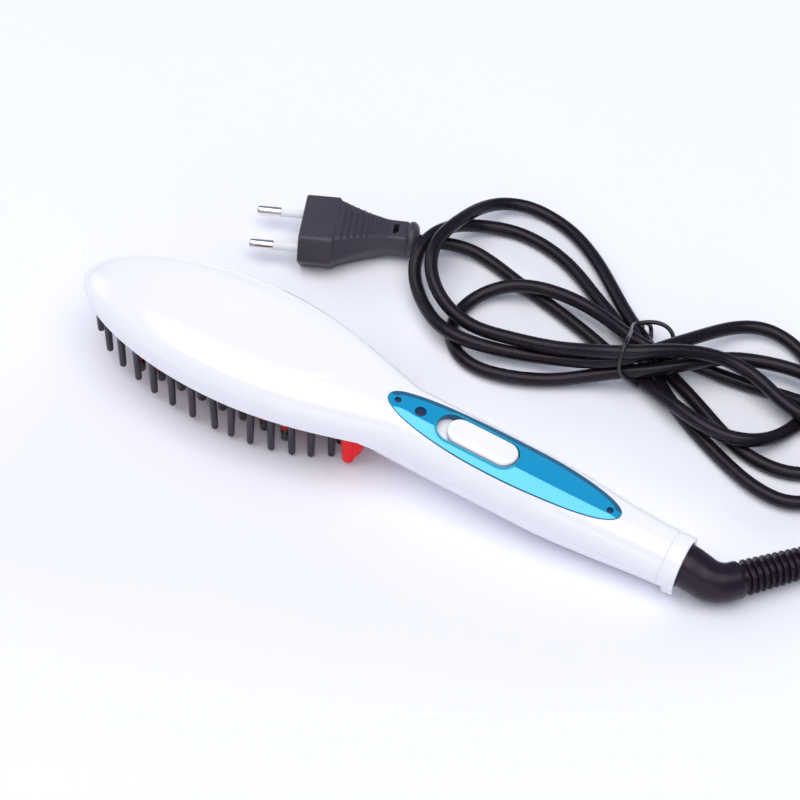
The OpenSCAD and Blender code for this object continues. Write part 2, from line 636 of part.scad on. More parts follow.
module contact_springs() placed() color("goldenrod") on_swivel()
    for (x = ring_x) translate([x + 0.5, 0, 0]) {
        translate([0, -1.2, -5.4]) cube([1, 2.4, 0.9]);
        translate([0, -0.4, -4.6]) cube([1, 0.8, 4.6 - ring_r - 0.1]);
    }
bend_end = [boot_straight + bend_r * sin(bend_a), bend_r * (1 - cos(bend_a)), 0];
rib_pitch = sleeve_len / rib_n;
neck_len = 2.4;
module on_bend() translate(bend_end) rotate([0, 0, bend_a]) children();
module cord_boot() placed() color("#1b1a1d") on_swivel() {
    along(-base_len, 0.4, boot_d / 2, boot_d / 2);
    along(0.4, boot_straight, boot_d / 2, bend_d / 2);
    translate([boot_straight, bend_r, 0]) rotate([0, 0, -90])
        rotate_extrude(angle = bend_a) translate([bend_r, 0]) circle(d = bend_d);
    on_bend() {
        along(0, neck_len, bend_d / 2, rib_d0 / 2 - rib_deep / 2);
        along(neck_len, neck_len + sleeve_len, rib_d0 / 2 - rib_deep, rib_d1 / 2 - rib_deep);
        for (i = [0:rib_n - 1]) {
            r = (rib_d0 + (rib_d1 - rib_d0) * i / (rib_n - 1)) / 2;
            along(neck_len + i * rib_pitch + 0.8, neck_len + (i + 1) * rib_pitch - 0.3, r, r);
        }
    }
    along(socket_x0 - 0.5, -base_len + 0.1, swivel_d / 2, swivel_d / 2);
    along(socket_x0 - 0.3 - stop_t, socket_x0 - 0.3, stop_r, stop_r);
    along(ring_x[1] - 2, socket_x0 - stop_t, stub_r, stub_r);
}
module slip_rings() placed() color("gold") on_swivel()
    for (x = ring_x) difference() {
        along(x, x + 2, ring_r, ring_r);
        along(x - 1, x + 3, stub_r + 0.05, stub_r + 0.05);
    }

// Mains cord ----------------------------------------------------------------------
// The end of the boot's sleeve on the surface
sleeve_tip = bend_end + (neck_len + sleeve_len) * [cos(bend_a), sin(bend_a), 0];
function to_world(p) = [lay_x + p[0] * cos(lay_tilt) + p[2] * sin(lay_tilt), p[1],
    lay_z - p[0] * sin(lay_tilt) + p[2] * cos(lay_tilt)];
cord_exit = to_world(sleeve_tip + [handle_len, 0, centre_z(handle_len)]);
cord_r = cord_d / 2;
// Route of the free stretch, from the boot to the tied bundle
lead_route = concat([cord_exit], [[168, 38, 7.8], [172, 50, 6], [171, 62, 4.4],
    [166.5, 72, 4.4], [161, 79, 5.4], [157, 81.5, 7.4]]);
exit_dir = unit(to_world([cos(bend_a), sin(bend_a), 0]) - to_world([0, 0, 0]));
module cord_lead() color("#1b1a1d") tube(lead_route, cord_r, exit_dir);

// The tied bundle: two flat lobes and the waist between them
// Circles whose hull is the outside of each lobe, and its eye: centre and radius
left_lobe = [[[-4, 90], 26], [[0, 113], 25.6], [[14, 66], 18], [[56, 84], 14]];
left_eye = [[[-4, 86], 13], [[0, 106], 10], [[22, 84], 8]];
right_lobe = [[[118, 101], 23.6], [[140, 67], 19.6], [[132, 84], 22], [[76, 84], 14]];
right_eye = [[[114, 98], 6], [[130, 76], 9]];
lobe_h = 11;
waist_x = 58;
waist_len = 16;
waist_y = [72, 96];
waist_z = [2.2, 19.6];
tie_gap = 0.25;
tie_t = 1.7;
tie_x = 64.5;
tie_w = 3;
module hull_of(circles) hull() for (c = circles) translate(c[0]) circle(r = c[1], $fn = 40);
module cord_hank() color("#1b1a1d") {
    linear_extrude(lobe_h) difference() {
        hull_of(left_lobe);
        hull_of(left_eye);
        translate([waist_x, 0]) square(200);
    }
    linear_extrude(lobe_h) difference() {
        hull_of(right_lobe);
        hull_of(right_eye);
        translate([waist_x + waist_len - 200, 0]) square(200);
    }
    translate([waist_x - 1, waist_y[0], waist_z[0]])
        cube([waist_len + 2, waist_y[1] - waist_y[0], waist_z[1] - waist_z[0]]);
}
// The twisted tie lies round the waist
module cord_tie() color("black") {
    inner = [waist_y[0] - tie_gap, waist_z[0] - tie_gap];
    size = [waist_y[1] - waist_y[0] + 2 * tie_gap, waist_z[1] - waist_z[0] + 2 * tie_gap];
    translate([tie_x, 0, 0]) rotate([90, 0, 90]) linear_extrude(tie_w) difference() {
        translate([inner[0] - tie_t, inner[1] - tie_t]) square(size + 2 * [tie_t, tie_t]);
        translate(inner) square(size);
    }
}

// Plug ----------------------------------------------------------------------------
plug_at = [-75.4, 76.6, 0];
plug_a = 22;
module plugged() translate(plug_at) rotate([0, 0, plug_a]) translate([0, 0, plug_h / 2])
    children();
pin_lean = 1.6;
neck_w = 12;
neck_h = 9.6;
plug_ring_d = 13.6;
plug_ring_t = 4.4;
module hexagon(w, flat, h)
    polygon([[-flat / 2, -h / 2], [flat / 2, -h / 2], [w / 2, 0], [flat / 2, h / 2],
        [-flat / 2, h / 2], [-w / 2, 0]]);
module slab(x, t, w, flat, h)
    translate([x, 0, 0]) rotate([90, 0, 90]) linear_extrude(t) hexagon(w, flat, h);
taper_end = plug_len - plug_ring_t - 7;
module plug_body() color("#37343c") plugged() difference() {
    union() {
        slab(0, plug_front, plug_w, plug_flat, plug_h);
        hull() {
            slab(plug_front, 0.1, plug_w, plug_flat, plug_h);
            slab(plug_front + 8, 0.1, plug_w * 0.7, plug_flat * 0.66, plug_h * 0.86);
        }
        hull() {
            slab(plug_front + 8, 0.1, plug_w * 0.7, plug_flat * 0.66, plug_h * 0.86);
            slab(taper_end, 0.1, neck_w, neck_w * 0.8, neck_h);
        }
        slab(taper_end, plug_len - taper_end - 1, neck_w, neck_w * 0.8, neck_h);
        translate([plug_len - plug_ring_t, 0, 0]) rotate([0, 90, 0])
            cylinder(d = plug_ring_d, h = plug_ring_t);
    }
    for (s = [-1, 1]) translate([0, s * pin_gap / 2, 0]) rotate([0, 90, s * pin_lean])
        translate([0, 0, -2]) cylinder(d = pin_dia - 0.8, h = 11);
    translate([taper_end + 1.6, -6, neck_h / 2 - 1.2]) cube([2.4, 6, 3]);
}
module plug_pins() color("silver") plugged() for (s = [-1, 1])
    translate([0, s * pin_gap / 2, 0]) rotate([0, 90, s * pin_lean]) {
        translate([0, 0, -pin_len + pin_dia / 2]) sphere(d = pin_dia, $fn = 32);
        translate([0, 0, -pin_len + pin_dia / 2])
            cylinder(d = pin_dia, h = pin_len - pin_sleeve - pin_dia / 2);
        translate([0, 0, -pin_sleeve - 0.1]) cylinder(d = pin_dia - 1, h = pin_sleeve + 8);
    }
module pin_sleeves() color("white") plugged() for (s = [-1, 1])
    translate([0, s * pin_gap / 2, 0]) rotate([0, 90, s * pin_lean]) difference() {
        translate([0, 0, -pin_sleeve]) cylinder(d = pin_dia, h = pin_sleeve - 0.2);
        translate([0, 0, -pin_sleeve - 1]) cylinder(d = pin_dia - 0.96, h = pin_sleeve + 2);
    }
tail_from = plug_at + [plug_len * cos(plug_a), plug_len * sin(plug_a), plug_h / 2];
tail_dir = [cos(plug_a), sin(plug_a), 0];
module cord_tail() color("#1b1a1d")
    tube([tail_from, tail_from + 2.5 * tail_dir, tail_from + 5 * tail_dir - [0, 0, 0.6]], cord_r,
        tail_dir);

back_shell();
front_shell();
end_collar();
control_panel();
panel_screws();
indicator_lens();
slide_knob();
bristle_frame();
guard_bristles();
heating_plate();
heater_teeth();
tooth_caps();
neck_studs();
ceramic_heater();
insulating_sheet();
heater_clamp();
plate_screws();
thermal_fuse();
thermistor();
circuit_board();
board_parts();
slide_switch();
indicator_led();
heater_leads();
mains_leads();
shell_screws();
swivel_socket();
contact_block();
contact_springs();
cord_boot();
slip_rings();
cord_lead();
cord_hank();
cord_tail();
cord_tie();
plug_body();
plug_pins();
pin_sleeves();
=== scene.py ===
import math

import bmesh
import bpy
import numpy as np
from mathutils import Matrix, Vector


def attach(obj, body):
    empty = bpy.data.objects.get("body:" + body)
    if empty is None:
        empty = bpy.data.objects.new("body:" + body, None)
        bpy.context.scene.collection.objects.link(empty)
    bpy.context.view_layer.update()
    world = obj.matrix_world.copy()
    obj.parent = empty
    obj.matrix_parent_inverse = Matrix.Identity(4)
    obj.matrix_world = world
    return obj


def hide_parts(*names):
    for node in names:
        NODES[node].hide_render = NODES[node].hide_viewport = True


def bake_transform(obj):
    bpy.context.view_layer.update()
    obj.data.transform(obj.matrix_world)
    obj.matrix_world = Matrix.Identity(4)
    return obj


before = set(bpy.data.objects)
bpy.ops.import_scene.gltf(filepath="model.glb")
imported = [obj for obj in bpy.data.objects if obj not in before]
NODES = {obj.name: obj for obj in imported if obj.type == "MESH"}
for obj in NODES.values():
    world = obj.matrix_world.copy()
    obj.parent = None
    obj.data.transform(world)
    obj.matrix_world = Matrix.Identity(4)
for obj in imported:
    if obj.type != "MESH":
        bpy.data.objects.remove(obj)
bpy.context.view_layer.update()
SCENE = bpy.context.scene


def mm(values):
    """Millimetres to metres."""
    return np.asarray(values, float) / 1000


# Camera ---------------------------------------------------------------------
CAMERA_AT = (0.2321, -0.3930, 0.5707)
CAMERA_TURN = (math.radians(40), 0, math.radians(29.3))
CAMERA_LENS = 90


def make_camera():
    """The camera at the photograph's viewing angle."""
    data = bpy.data.cameras.new("camera")
    data.lens = CAMERA_LENS
    data.sensor_width = 36
    data.clip_start = 0.01
    camera = bpy.data.objects.new("camera", data)
    camera.location = CAMERA_AT
    camera.rotation_euler = CAMERA_TURN
    SCENE.collection.objects.link(camera)
    SCENE.camera = camera


make_camera()

# Cord -----------------------------------------------------------------------
CORD_D = 5.2
# Points of the cord's route, from the plug round the tied bundle to the boot. They aren't chosen by hand,
# apart from the boot's stretch: places read by hand from the photograph were moved apart by scratch
# programs until no two strands met, then sampled anew and rounded to 0.1 mm
PLUG_STRETCH = [(-34.0, 92.7, 8.2), (-24.8, 98.3, 6.5), (-14.9, 102.6, 4), (-3.9, 101.8, 2.7),
    (6.8, 98.4, 2.6), (17.5, 95.1, 2.6), (28.2, 91.9, 2.7), (38.8, 88.2, 2.9), (49.3, 84.3, 2.9),
    (59.6, 79.9, 3), (69.6, 75, 3.9)]
RIGHT_LOOP_1 = [(79.6, 70.4, 6), (89.7, 65.9, 7.9), (100.2, 62.2, 8.9), (111.2, 61.1, 8.7),
    (121.3, 65.3, 7.1), (127.8, 73.9, 4.3), (131.4, 83.4, 2.7), (133.1, 94.5, 2.6), (130.6, 105.3, 2.6),
    (123.8, 114.1, 2.8), (114, 119.3, 3.6), (103, 119.4, 4.9), (93.7, 113.6, 6.1), (87.3, 104.7, 8.3),
    (82.3, 95.2, 11.3), (77, 85.6, 13.8), (70.6, 76.6, 14.5)]
LEFT_LOOP_1 = [(61.9, 69.9, 12.9), (51.6, 66.9, 9.8), (40.9, 65.2, 7), (30.1, 62.5, 5.9), (19.6, 58.9, 7),
    (8.7, 56.4, 8.3), (-2.3, 57.8, 8), (-11.9, 63.3, 7.2), (-20.3, 70.6, 7.9), (-26.4, 79.6, 10.5),
    (-27.9, 90.3, 12.8), (-25.8, 101.1, 11.3), (-21.8, 110.6, 7), (-14, 117.8, 3.8), (-3.5, 121.3, 2.7),
    (7.6, 120.7, 2.6), (18.4, 117.5, 2.6), (28.4, 112.5, 2.6), (37.8, 106.4, 2.6), (47.2, 100.4, 2.6),
    (56.4, 94, 2.7), (65.5, 87.4, 2.7)]
RIGHT_LOOP_2 = [(74.5, 80.8, 2.7), (82.7, 74.4, 2.6), (91.7, 67.7, 2.6), (101.2, 61.9, 2.6),
    (111.1, 56.6, 2.6), (121.2, 51.7, 3), (131.7, 48.1, 3.5), (142.8, 48.3, 3.6), (151.9, 54.5, 4.5),
    (155.6, 64.7, 6.4), (152.5, 75.1, 7.9), (143.9, 82, 7.7), (132.9, 84.3, 7.8), (122.2, 87.2, 8.5),
    (111.9, 91.5, 9.3), (101.2, 91.7, 12.1), (91.4, 87.7, 15.6), (82.3, 81.7, 18.2)]
LEFT_LOOP_2 = [(73.4, 75.1, 19.5), (63.5, 70, 18.7), (52.9, 67.7, 15.9), (42.3, 66.3, 12.8),
    (31.3, 64.9, 11), (20.2, 63.6, 10), (9.1, 63.2, 9.2), (-1.8, 65.6, 9.5), (-11.5, 70.8, 11.2),
    (-18.9, 78.7, 14), (-22.3, 89, 16), (-21.7, 100.2, 15.6), (-20.4, 111, 13), (-18.8, 121.3, 9.1),
    (-13.8, 130.6, 5.7), (-4.3, 135.8, 3.5), (6, 135.6, 2.6), (16.6, 132, 2.7), (26.2, 126.4, 2.8),
    (35.2, 119.6, 2.8), (43.5, 112.2, 2.8), (51.9, 104.7, 2.7), (60.6, 97.7, 2.6), (69.6, 91, 2.6)]
RIGHT_LOOP_3 = [(78.7, 84.6, 2.6), (88.4, 78.9, 2.7), (98.1, 73.3, 2.8), (107.7, 67.6, 2.8),
    (117.8, 62.8, 2.6), (128.7, 60.5, 2.7), (139.7, 62.2, 2.6), (148.5, 68.9, 2.6), (152.2, 79.2, 2.6),
    (149.9, 90, 3.6), (142.7, 98, 6), (132.5, 102.2, 7.9), (121.4, 103.2, 7.9), (110.4, 101.6, 7.5),
    (100.2, 97.1, 8.3), (91.8, 89.8, 9.8), (84, 81.8, 10.6)]
LEFT_LOOP_3 = [(75.1, 75.1, 10.2), (65.4, 69.9, 8.4), (55.7, 64.9, 5.9), (46.1, 59.3, 4.1),
    (36.1, 54.4, 3.7), (25.4, 51.1, 3.5), (14.3, 50.7, 3), (4.3, 55.3, 2.6), (-1.7, 64.6, 2.6),
    (-2.5, 74.9, 3), (2.1, 84.9, 4.5), (10.8, 91.4, 6.8), (21.4, 94.4, 8), (32.6, 95.5, 7.7),
    (43.6, 94.1, 7.7), (54.2, 90.5, 8.5), (64.8, 86.9, 9.1)]
OVER_BUNDLE = [(75.8, 86.5, 8), (86.4, 89.2, 5.6), (97.2, 91.3, 3.3), (108.3, 92.3, 2.9), (119.4, 92, 4.4),
    (130, 90.4, 7.3), (140.9, 88.3, 8.9), (151.5, 84.9, 8.3)]
BOOT_STRETCH = [(161, 79, 5.4), (166.5, 72, 4.4), (171, 62, 4.4), (172, 50, 6), (168, 38.4, 6.8),
    (162.8, 29.6, 6.6)]
CORD_ROUTE = (PLUG_STRETCH + RIGHT_LOOP_1 + LEFT_LOOP_1 + RIGHT_LOOP_2 + LEFT_LOOP_2 + RIGHT_LOOP_3
    + LEFT_LOOP_3 + OVER_BUNDLE + BOOT_STRETCH)


def smooth_line(points, per_span):
    """The natural cubic spline through points, as a dense line."""
    p = np.asarray(points, float)
    gaps = np.linalg.norm(np.diff(p, axis=0), axis=1)
    before, after = gaps[:-1], gaps[1:]
    system = np.diag(np.concatenate([[1], 2 * (before + after), [1]]))
    system += np.diag(np.append(before, 0), -1) + np.diag(np.insert(after, 0, 0), 1)
    slopes = np.diff(p, axis=0) / gaps[:, None]
    bends = np.zeros_like(p)
    bends[1:-1] = 6 * np.diff(slopes, axis=0)
    bends = np.linalg.solve(system, bends)
    t = (np.arange(per_span) / per_span)[:, None]
    line = []
    for a, b, bend_a, bend_b, gap in zip(p, p[1:], bends, bends[1:], gaps):
        sag = bend_a * (1 - t) * t * (2 - t) + bend_b * t * (1 - t**2)
        line.append(a * (1 - t) + b * t - gap**2 / 6 * sag)
    return np.vstack([*line, p[-1:]])


def distances(line):
    """How far along a line each of its points lies."""
    return np.concatenate([[0], np.cumsum(np.linalg.norm(np.diff(line, axis=0), axis=1))])


def even_points(line, count, closed=False):
    """Even points along a line, without its last point where that closes it on its first."""
    s = distances(line)
    at = np.linspace(0, s[-1], count, endpoint=not closed)
    return np.stack([np.interp(at, s, line[:, k]) for k in range(line.shape[1])], 1)


def even_line(line, step):
    """The same line with a point at about every step."""
    return even_points(line, max(2, round(distances(line)[-1] / step)) + 1)


def full_turn(count):
    """Even angles round a full turn."""
    return np.arange(count) * 2 * math.pi / count


def swept_rings(line, radii, sides):
    """Rings round a line that turn as little as they can on the way."""
    tangents = np.gradient(line, axis=0)
    tangents /= np.linalg.norm(tangents, axis=1)[:, None]
    side = np.cross(tangents[0], (0, 0, 1))
    side /= np.linalg.norm(side)
    angles = full_turn(sides)
    rings = []
    for point, tangent, radius in zip(line, tangents, np.broadcast_to(radii, len(line))):
        side = side - tangent * side.dot(tangent)
        side /= np.linalg.norm(side)
        up = np.cross(tangent, side)
        rings.append(point + radius * (np.cos(angles)[:, None] * side + np.sin(angles)[:, None] * up))
    return np.array(rings)


def band_faces(first, second, sides):
    """Quads between two rings of vertices, given by the number of each ring's first vertex."""
    return [(first + j, first + (j + 1) % sides, second + (j + 1) % sides, second + j) for j in range(sides)]


def ring_faces(count, sides, closed_ends=True):
    """Quads between rings of vertices, and a face over each end."""
    faces = [face for i in range(count - 1) for face in band_faces(i * sides, (i + 1) * sides, sides)]
    if closed_ends:
        faces.append(tuple(range(sides))[::-1])
        faces.append(tuple(range((count - 1) * sides, count * sides)))
    return faces


def loop_faces(count, sides):
    """Quads between rings of vertices of which the last joins the first."""
    return ring_faces(count, sides, closed_ends=False) + band_faces((count - 1) * sides, 0, sides)


def new_piece(name, vertices, faces, material, body="brush", smooth=True):
    """A mesh piece from vertices in millimetres that rides on a body."""
    mesh = bpy.data.meshes.new(name)
    mesh.from_pydata([tuple(v) for v in mm(vertices)], [], faces)
    mesh.validate()
    piece = bpy.data.objects.new(name, mesh)
    SCENE.collection.objects.link(piece)
    if smooth:
        mesh.shade_smooth()
    if material:
        mesh.materials.append(material)
    if body:
        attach(piece, body)
    return piece


def outward(piece):
    """Turns every face of a closed piece outwards."""
    bm = bmesh.new()
    bm.from_mesh(piece.data)
    bmesh.ops.recalc_face_normals(bm, faces=bm.faces)
    bm.to_mesh(piece.data)
    bm.free()
    return piece


def sharpen(piece, degrees):
    """Marks the edges that turn by more than an angle, so that they stay crisp."""
    bm = bmesh.new()
    bm.from_mesh(piece.data)
    limit = math.radians(degrees)
    for edge in bm.edges:
        edge.smooth = len(edge.link_faces) == 2 and edge.calc_face_angle(0) < limit
    bm.to_mesh(piece.data)
    bm.free()


def loft(rings, faces_of=ring_faces):
    """Vertices and faces of the skin over a row of rings."""
    return np.vstack(rings), faces_of(len(rings), len(rings[0]))


def merged(parts):
    """One mesh out of several: a list of (vertices, faces)."""
    vertices, faces, start = [], [], 0
    for v, f in parts:
        v = np.asarray(v, float)
        vertices.append(v)
        faces += [tuple(i + start for i in face) for face in f]
        start += len(v)
    return np.vstack(vertices), faces


def build(name, parts, place, look, body="brush"):
    """A closed piece of one or more parts, put in the world by a function."""
    vertices, faces = merged(parts)
    return outward(new_piece(name, place(vertices), faces, LOOKS[look], body))


def stand_in(piece, degrees, node):
    """Crisp edges for a piece, and hides the CAD node whose place it takes."""
    sharpen(piece, degrees)
    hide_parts(node)
    return piece


# Materials --------------------------------------------------------------------
# Sockets of the Mix node that carry its two colours and its mixed colour
MIX_FIRST, MIX_SECOND, MIX_OUT = 6, 7, 2


def add_node(tree, kind, **values):
    """A shader node with its inputs set; an underscore stands for a space in an input's name."""
    node = tree.nodes.new("ShaderNode" + kind)
    for socket, value in values.items():
        node.inputs[socket.replace("_", " ")].default_value = value
    return node


class Shade:
    """A procedural material: a Principled shader with the nodes that vary it."""

    def __init__(self, name, colour, rough, **settings):
        self.material = bpy.data.materials.new(name)
        self.material.use_nodes = True
        self.tree = self.material.node_tree
        self.shader = self.tree.nodes["Principled BSDF"]
        self.shader.inputs["Base Color"].default_value = (*colour, 1)
        self.shader.inputs["Roughness"].default_value = rough
        for socket, value in settings.items():
            self.shader.inputs[socket.replace("_", " ")].default_value = value
        self.place = add_node(self.tree, "TexCoord").outputs["Object"]
        self.link = self.tree.links.new
        self.height = None

    def noise(self, scale, detail=3, stretch=None):
        """Noise of a feature size of about 1 / scale metres; stretch squeezes it along the axes."""
        node = add_node(self.tree, "TexNoise", Scale=scale, Detail=detail)
        place = self.place
        if stretch:
            mapping = add_node(self.tree, "Mapping", Scale=stretch)
            self.link(self.place, mapping.inputs["Vector"])
            place = mapping.outputs["Vector"]
        self.link(place, node.inputs["Vector"])
        return node.outputs["Fac"]

    def ramp(self, value, low, high):
        """Maps noise to a number between low and high."""
        node = add_node(self.tree, "MapRange", From_Min=0.3, From_Max=0.7, To_Min=low, To_Max=high)
        self.link(value, node.inputs["Value"])
        return node.outputs["Result"]

    def vary_colour(self, value, first, second):
        """Blends the colour between two by a noise."""
        node = add_node(self.tree, "Mix")
        node.data_type = "RGBA"
        node.inputs[MIX_FIRST].default_value = (*first, 1)
        node.inputs[MIX_SECOND].default_value = (*second, 1)
        self.link(self.ramp(value, 0, 1), node.inputs["Factor"])
        self.link(node.outputs[MIX_OUT], self.shader.inputs["Base Color"])
        return self

    def vary_rough(self, value, low, high):
        """Varies the roughness between two numbers by a noise."""
        self.link(self.ramp(value, low, high), self.shader.inputs["Roughness"])
        return self

    def bump(self, value, depth_mm, strength=1.0):
        """Adds a bump of a depth in millimetres on top of the ones before."""
        node = add_node(self.tree, "Bump", Distance=depth_mm / 1000, Strength=strength)
        self.link(value, node.inputs["Height"])
        if self.height:
            self.link(self.height, node.inputs["Normal"])
        self.height = node.outputs["Normal"]
        self.link(self.height, self.shader.inputs["Normal"])
        return self


def plastic(name, colour, rough, grain=0.01, grain_scale=2500, **settings):
    """Moulded plastic: slight unevenness of colour, gloss and surface."""
    shade = Shade(name, colour, rough, **settings)
    darker = tuple(0.93 * c for c in colour)
    shade.vary_colour(shade.noise(60, 4), colour, darker)
    shade.vary_rough(shade.noise(220, 5), 0.85 * rough, 1.2 * rough)
    shade.bump(shade.noise(grain_scale, 2), grain)
    return shade.material


def metal(name, colour, rough, brush=None):
    """Metal with fine drawn lines or a plain fine grain."""
    shade = Shade(name, colour, rough, Metallic=1.0)
    shade.vary_rough(shade.noise(900, 4, brush), 0.7 * rough, 1.4 * rough)
    shade.bump(shade.noise(3000, 2, brush), 0.004)
    return shade.material


def make_materials():
    """Every material of the brush, by name."""
    white = Shade("gloss_white", (0.9, 0.9, 0.92), 0.17, Coat_Weight=0.25, Coat_Roughness=0.06,
        Subsurface_Weight=0.06, Subsurface_Radius=(0.002, 0.002, 0.0025), IOR=1.5)
    white.vary_colour(white.noise(18, 3), (0.9, 0.9, 0.92), (0.885, 0.886, 0.91))
    white.vary_rough(white.noise(140, 5), 0.14, 0.21)
    white.bump(white.noise(34, 2), 0.05, 0.35)
    white.bump(white.noise(1800, 3), 0.004)
    panel = Shade("panel_blue", (0.0, 0.41, 0.75), 0.09, Metallic=0.35, Coat_Weight=1.0,
        Coat_Roughness=0.03, Coat_IOR=1.65, IOR=1.4)
    panel.vary_colour(panel.noise(700, 4, (1, 6, 6)), (0.0, 0.4, 0.74), (0.0, 0.43, 0.78))
    panel.vary_rough(panel.noise(90, 3), 0.07, 0.12)
    panel.bump(panel.noise(40, 2), 0.02, 0.3)
    return {
        "white": white.material,
        "panel": panel.material,
        # Painted shade: a dark colour for the panel's edges and a band along its far side, in place of the
        # gap's shade and a dark reflection
        "rim": plastic("panel_rim", (0.02, 0.12, 0.23), 0.35, Specular_IOR_Level=0.25),
        "lip": plastic("lip_teal", (0.0, 0.36, 0.55), 0.2, 0.006, Specular_IOR_Level=0.45),
        "knob": plastic("knob_white", (0.93, 0.93, 0.95), 0.22, 0.004, Coat_Weight=0.2),
        "dots": plastic("navy_dots", (0.008, 0.026, 0.08), 0.4, 0.003),
        "bristle": plastic("bristle_grey", (0.024, 0.019, 0.029), 0.42, 0.012,
            Specular_Tint=(0.96, 0.9, 1.0, 1)),
        "frame": plastic("frame_dark", (0.02, 0.018, 0.022), 0.45, 0.012),
        "red_coat": plastic("red_coating", (0.62, 0.01, 0.012), 0.36, 0.012, 4000, Specular_IOR_Level=0.4),
        "cap": plastic("cap_black", (0.012, 0.011, 0.013), 0.2, 0.004, Coat_Weight=0.3),
        "stud": plastic("stud_red", (0.9, 0.003, 0.007), 0.38, 0.01, Specular_IOR_Level=0.2,
            Subsurface_Weight=0.1, Subsurface_Radius=(0.003, 0.001, 0.001)),
        "boot": plastic("boot_black", (0.013, 0.0075, 0.0155), 0.33, 0.02, 3500, Specular_IOR_Level=0.35,
            Specular_Tint=(0.95, 0.84, 1.0, 1)),
        "cord": cord_material(),
        "plug": plastic("plug_charcoal", (0.049, 0.043, 0.06), 0.42, 0.05, 2200,
            Specular_Tint=(0.96, 0.9, 1.0, 1)),
        "pin": metal("pin_nickel", (0.86, 0.84, 0.82), 0.2),
        "sleeve": plastic("pin_sleeve", (0.93, 0.93, 0.95), 0.3, 0.01),
        "tie": plastic("tie_black", (0.016, 0.013, 0.018), 0.28, 0.01),
        "steel": metal("screw_steel", (0.6, 0.6, 0.62), 0.28, (1, 1, 12)),
        "brass": metal("contact_brass", (0.75, 0.52, 0.22), 0.25, (8, 1, 1)),
        "ceramic": plastic("heater_ceramic", (0.8, 0.77, 0.68), 0.55, 0.03),
        "sheet": plastic("polyimide_sheet", (0.55, 0.26, 0.04), 0.25, 0.01, Coat_Weight=0.4),
        "spring_steel": metal("spring_steel", (0.55, 0.56, 0.58), 0.32, (1, 14, 1)),
        "fuse": metal("fuse_shell", (0.62, 0.6, 0.55), 0.35),
        "bead": plastic("thermistor_bead", (0.6, 0.2, 0.03), 0.3, 0.02),
        "board": plastic("board_green", (0.01, 0.11, 0.04), 0.35, 0.012, 5000),
        "parts": plastic("component_grey", (0.05, 0.055, 0.065), 0.4, 0.02),
        "switch": plastic("switch_body", (0.025, 0.024, 0.026), 0.4, 0.02),
        "led": plastic("led_epoxy", (0.75, 0.42, 0.05), 0.12, 0.004, Transmission_Weight=0.5),
        "red_wire": plastic("wire_red", (0.35, 0.03, 0.02), 0.4, 0.01),
        "brown_wire": plastic("wire_brown", (0.16, 0.07, 0.03), 0.4, 0.01),
        "ivory": plastic("socket_ivory", (0.75, 0.73, 0.66), 0.42, 0.015),
    }


def cord_material():
    """Soft black cable jacket: satin, with faint unevenness and dust."""
    shade = Shade("cord_black", (0.008, 0.006, 0.0095), 0.28, Specular_IOR_Level=0.3,
        Specular_Tint=(0.95, 0.87, 1.0, 1))
    shade.vary_colour(shade.noise(120, 5), (0.0065, 0.0045, 0.0075), (0.0105, 0.0075, 0.012))
    shade.vary_rough(shade.noise(400, 5), 0.23, 0.34)
    shade.bump(shade.noise(160, 3), 0.08, 0.35)
    shade.bump(shade.noise(3000, 2), 0.01)
    return shade.material


LOOKS = make_materials()
# The CAD nodes that each material goes on
NODE_LOOKS = {"white": "back_shell front_shell end_collar", "panel": "control_panel",
    "dots": "panel_screws indicator_lens", "knob": "slide_knob", "frame": "bristle_frame",
    "bristle": "guard_bristles", "red_coat": "heating_plate heater_teeth", "cap": "tooth_caps",
    "stud": "neck_studs", "ceramic": "ceramic_heater", "sheet": "insulating_sheet",
    "spring_steel": "heater_clamp", "steel": "plate_screws shell_screws", "fuse": "thermal_fuse",
    "bead": "thermistor", "board": "circuit_board", "parts": "board_parts", "switch": "slide_switch",
    "led": "indicator_led", "red_wire": "heater_leads", "brown_wire": "mains_leads",
    "ivory": "swivel_socket contact_block", "brass": "contact_springs slip_rings", "boot": "cord_boot",
    "cord": "cord_lead cord_hank cord_tail", "tie": "cord_tie", "plug": "plug_body", "pin": "plug_pins",
    "sleeve": "pin_sleeves"}
for look_name, look_nodes in NODE_LOOKS.items():
    for node_name in look_nodes.split():
        NODES[node_name].data.materials.clear()
        NODES[node_name].data.materials.append(LOOKS[look_name])


# The cord piece ------------------------------------------------------------------
CORD_STEP = 1.6
CORD_SIDES = 18


def make_cord():
    """The cord's skin and its centre line; both ends lie inside the pieces that they enter."""
    line = even_line(smooth_line(CORD_ROUTE, 24), CORD_STEP)
    rings = swept_rings(line, CORD_D / 2, CORD_SIDES)
    cord = new_piece("mains_cord", rings.reshape(-1, 3), ring_faces(len(rings), CORD_SIDES),
        LOOKS["cord"], body=None)
    return outward(cord), line


CORD, CORD_LINE = make_cord()

# Shape of the brush, with the CAD model's own sizes ---------------------------------
HEAD_LEN, HEAD_W, WIDE_X = 122.5, 52.2, 52
RIM_Z, DOME_H, DOME_POW = 23, 16, 3.2
HANDLE_LEN, HANDLE_R, END_R = 122.5, 13.3, 10.3
NECK_X, NECK_Z, HANDLE_DROP, BELLY_X = 14, 22.4, 4.8, 4
COLLAR_LEN, FOOT_H = 4.6, 0.8
WALL, GAP, SEAM = 2.2, 0.25, 0.03
# How square the handle's upper half is
HANDLE_POW = 2.45
SHELL_END = HANDLE_LEN - COLLAR_LEN - GAP
FRAME_Z = RIM_Z + 0.3
# Where the handle starts to taper and to turn round, and where its middle line starts to drop
TAPER_X, ROUND_X, DROP_X = 66, 70, 8
ROUND_SPAN, DROP_SPAN = 48, 92
# Least height of the lower half, and over how long it grows to the handle's own
BELLY_MIN, BELLY_SPAN = 1.6, 14
# The last bristles, which the brush rests on together with the collar's foot
REAR_SPAN, TIP_R = 42, 1.3
REST_X = REAR_SPAN - WIDE_X
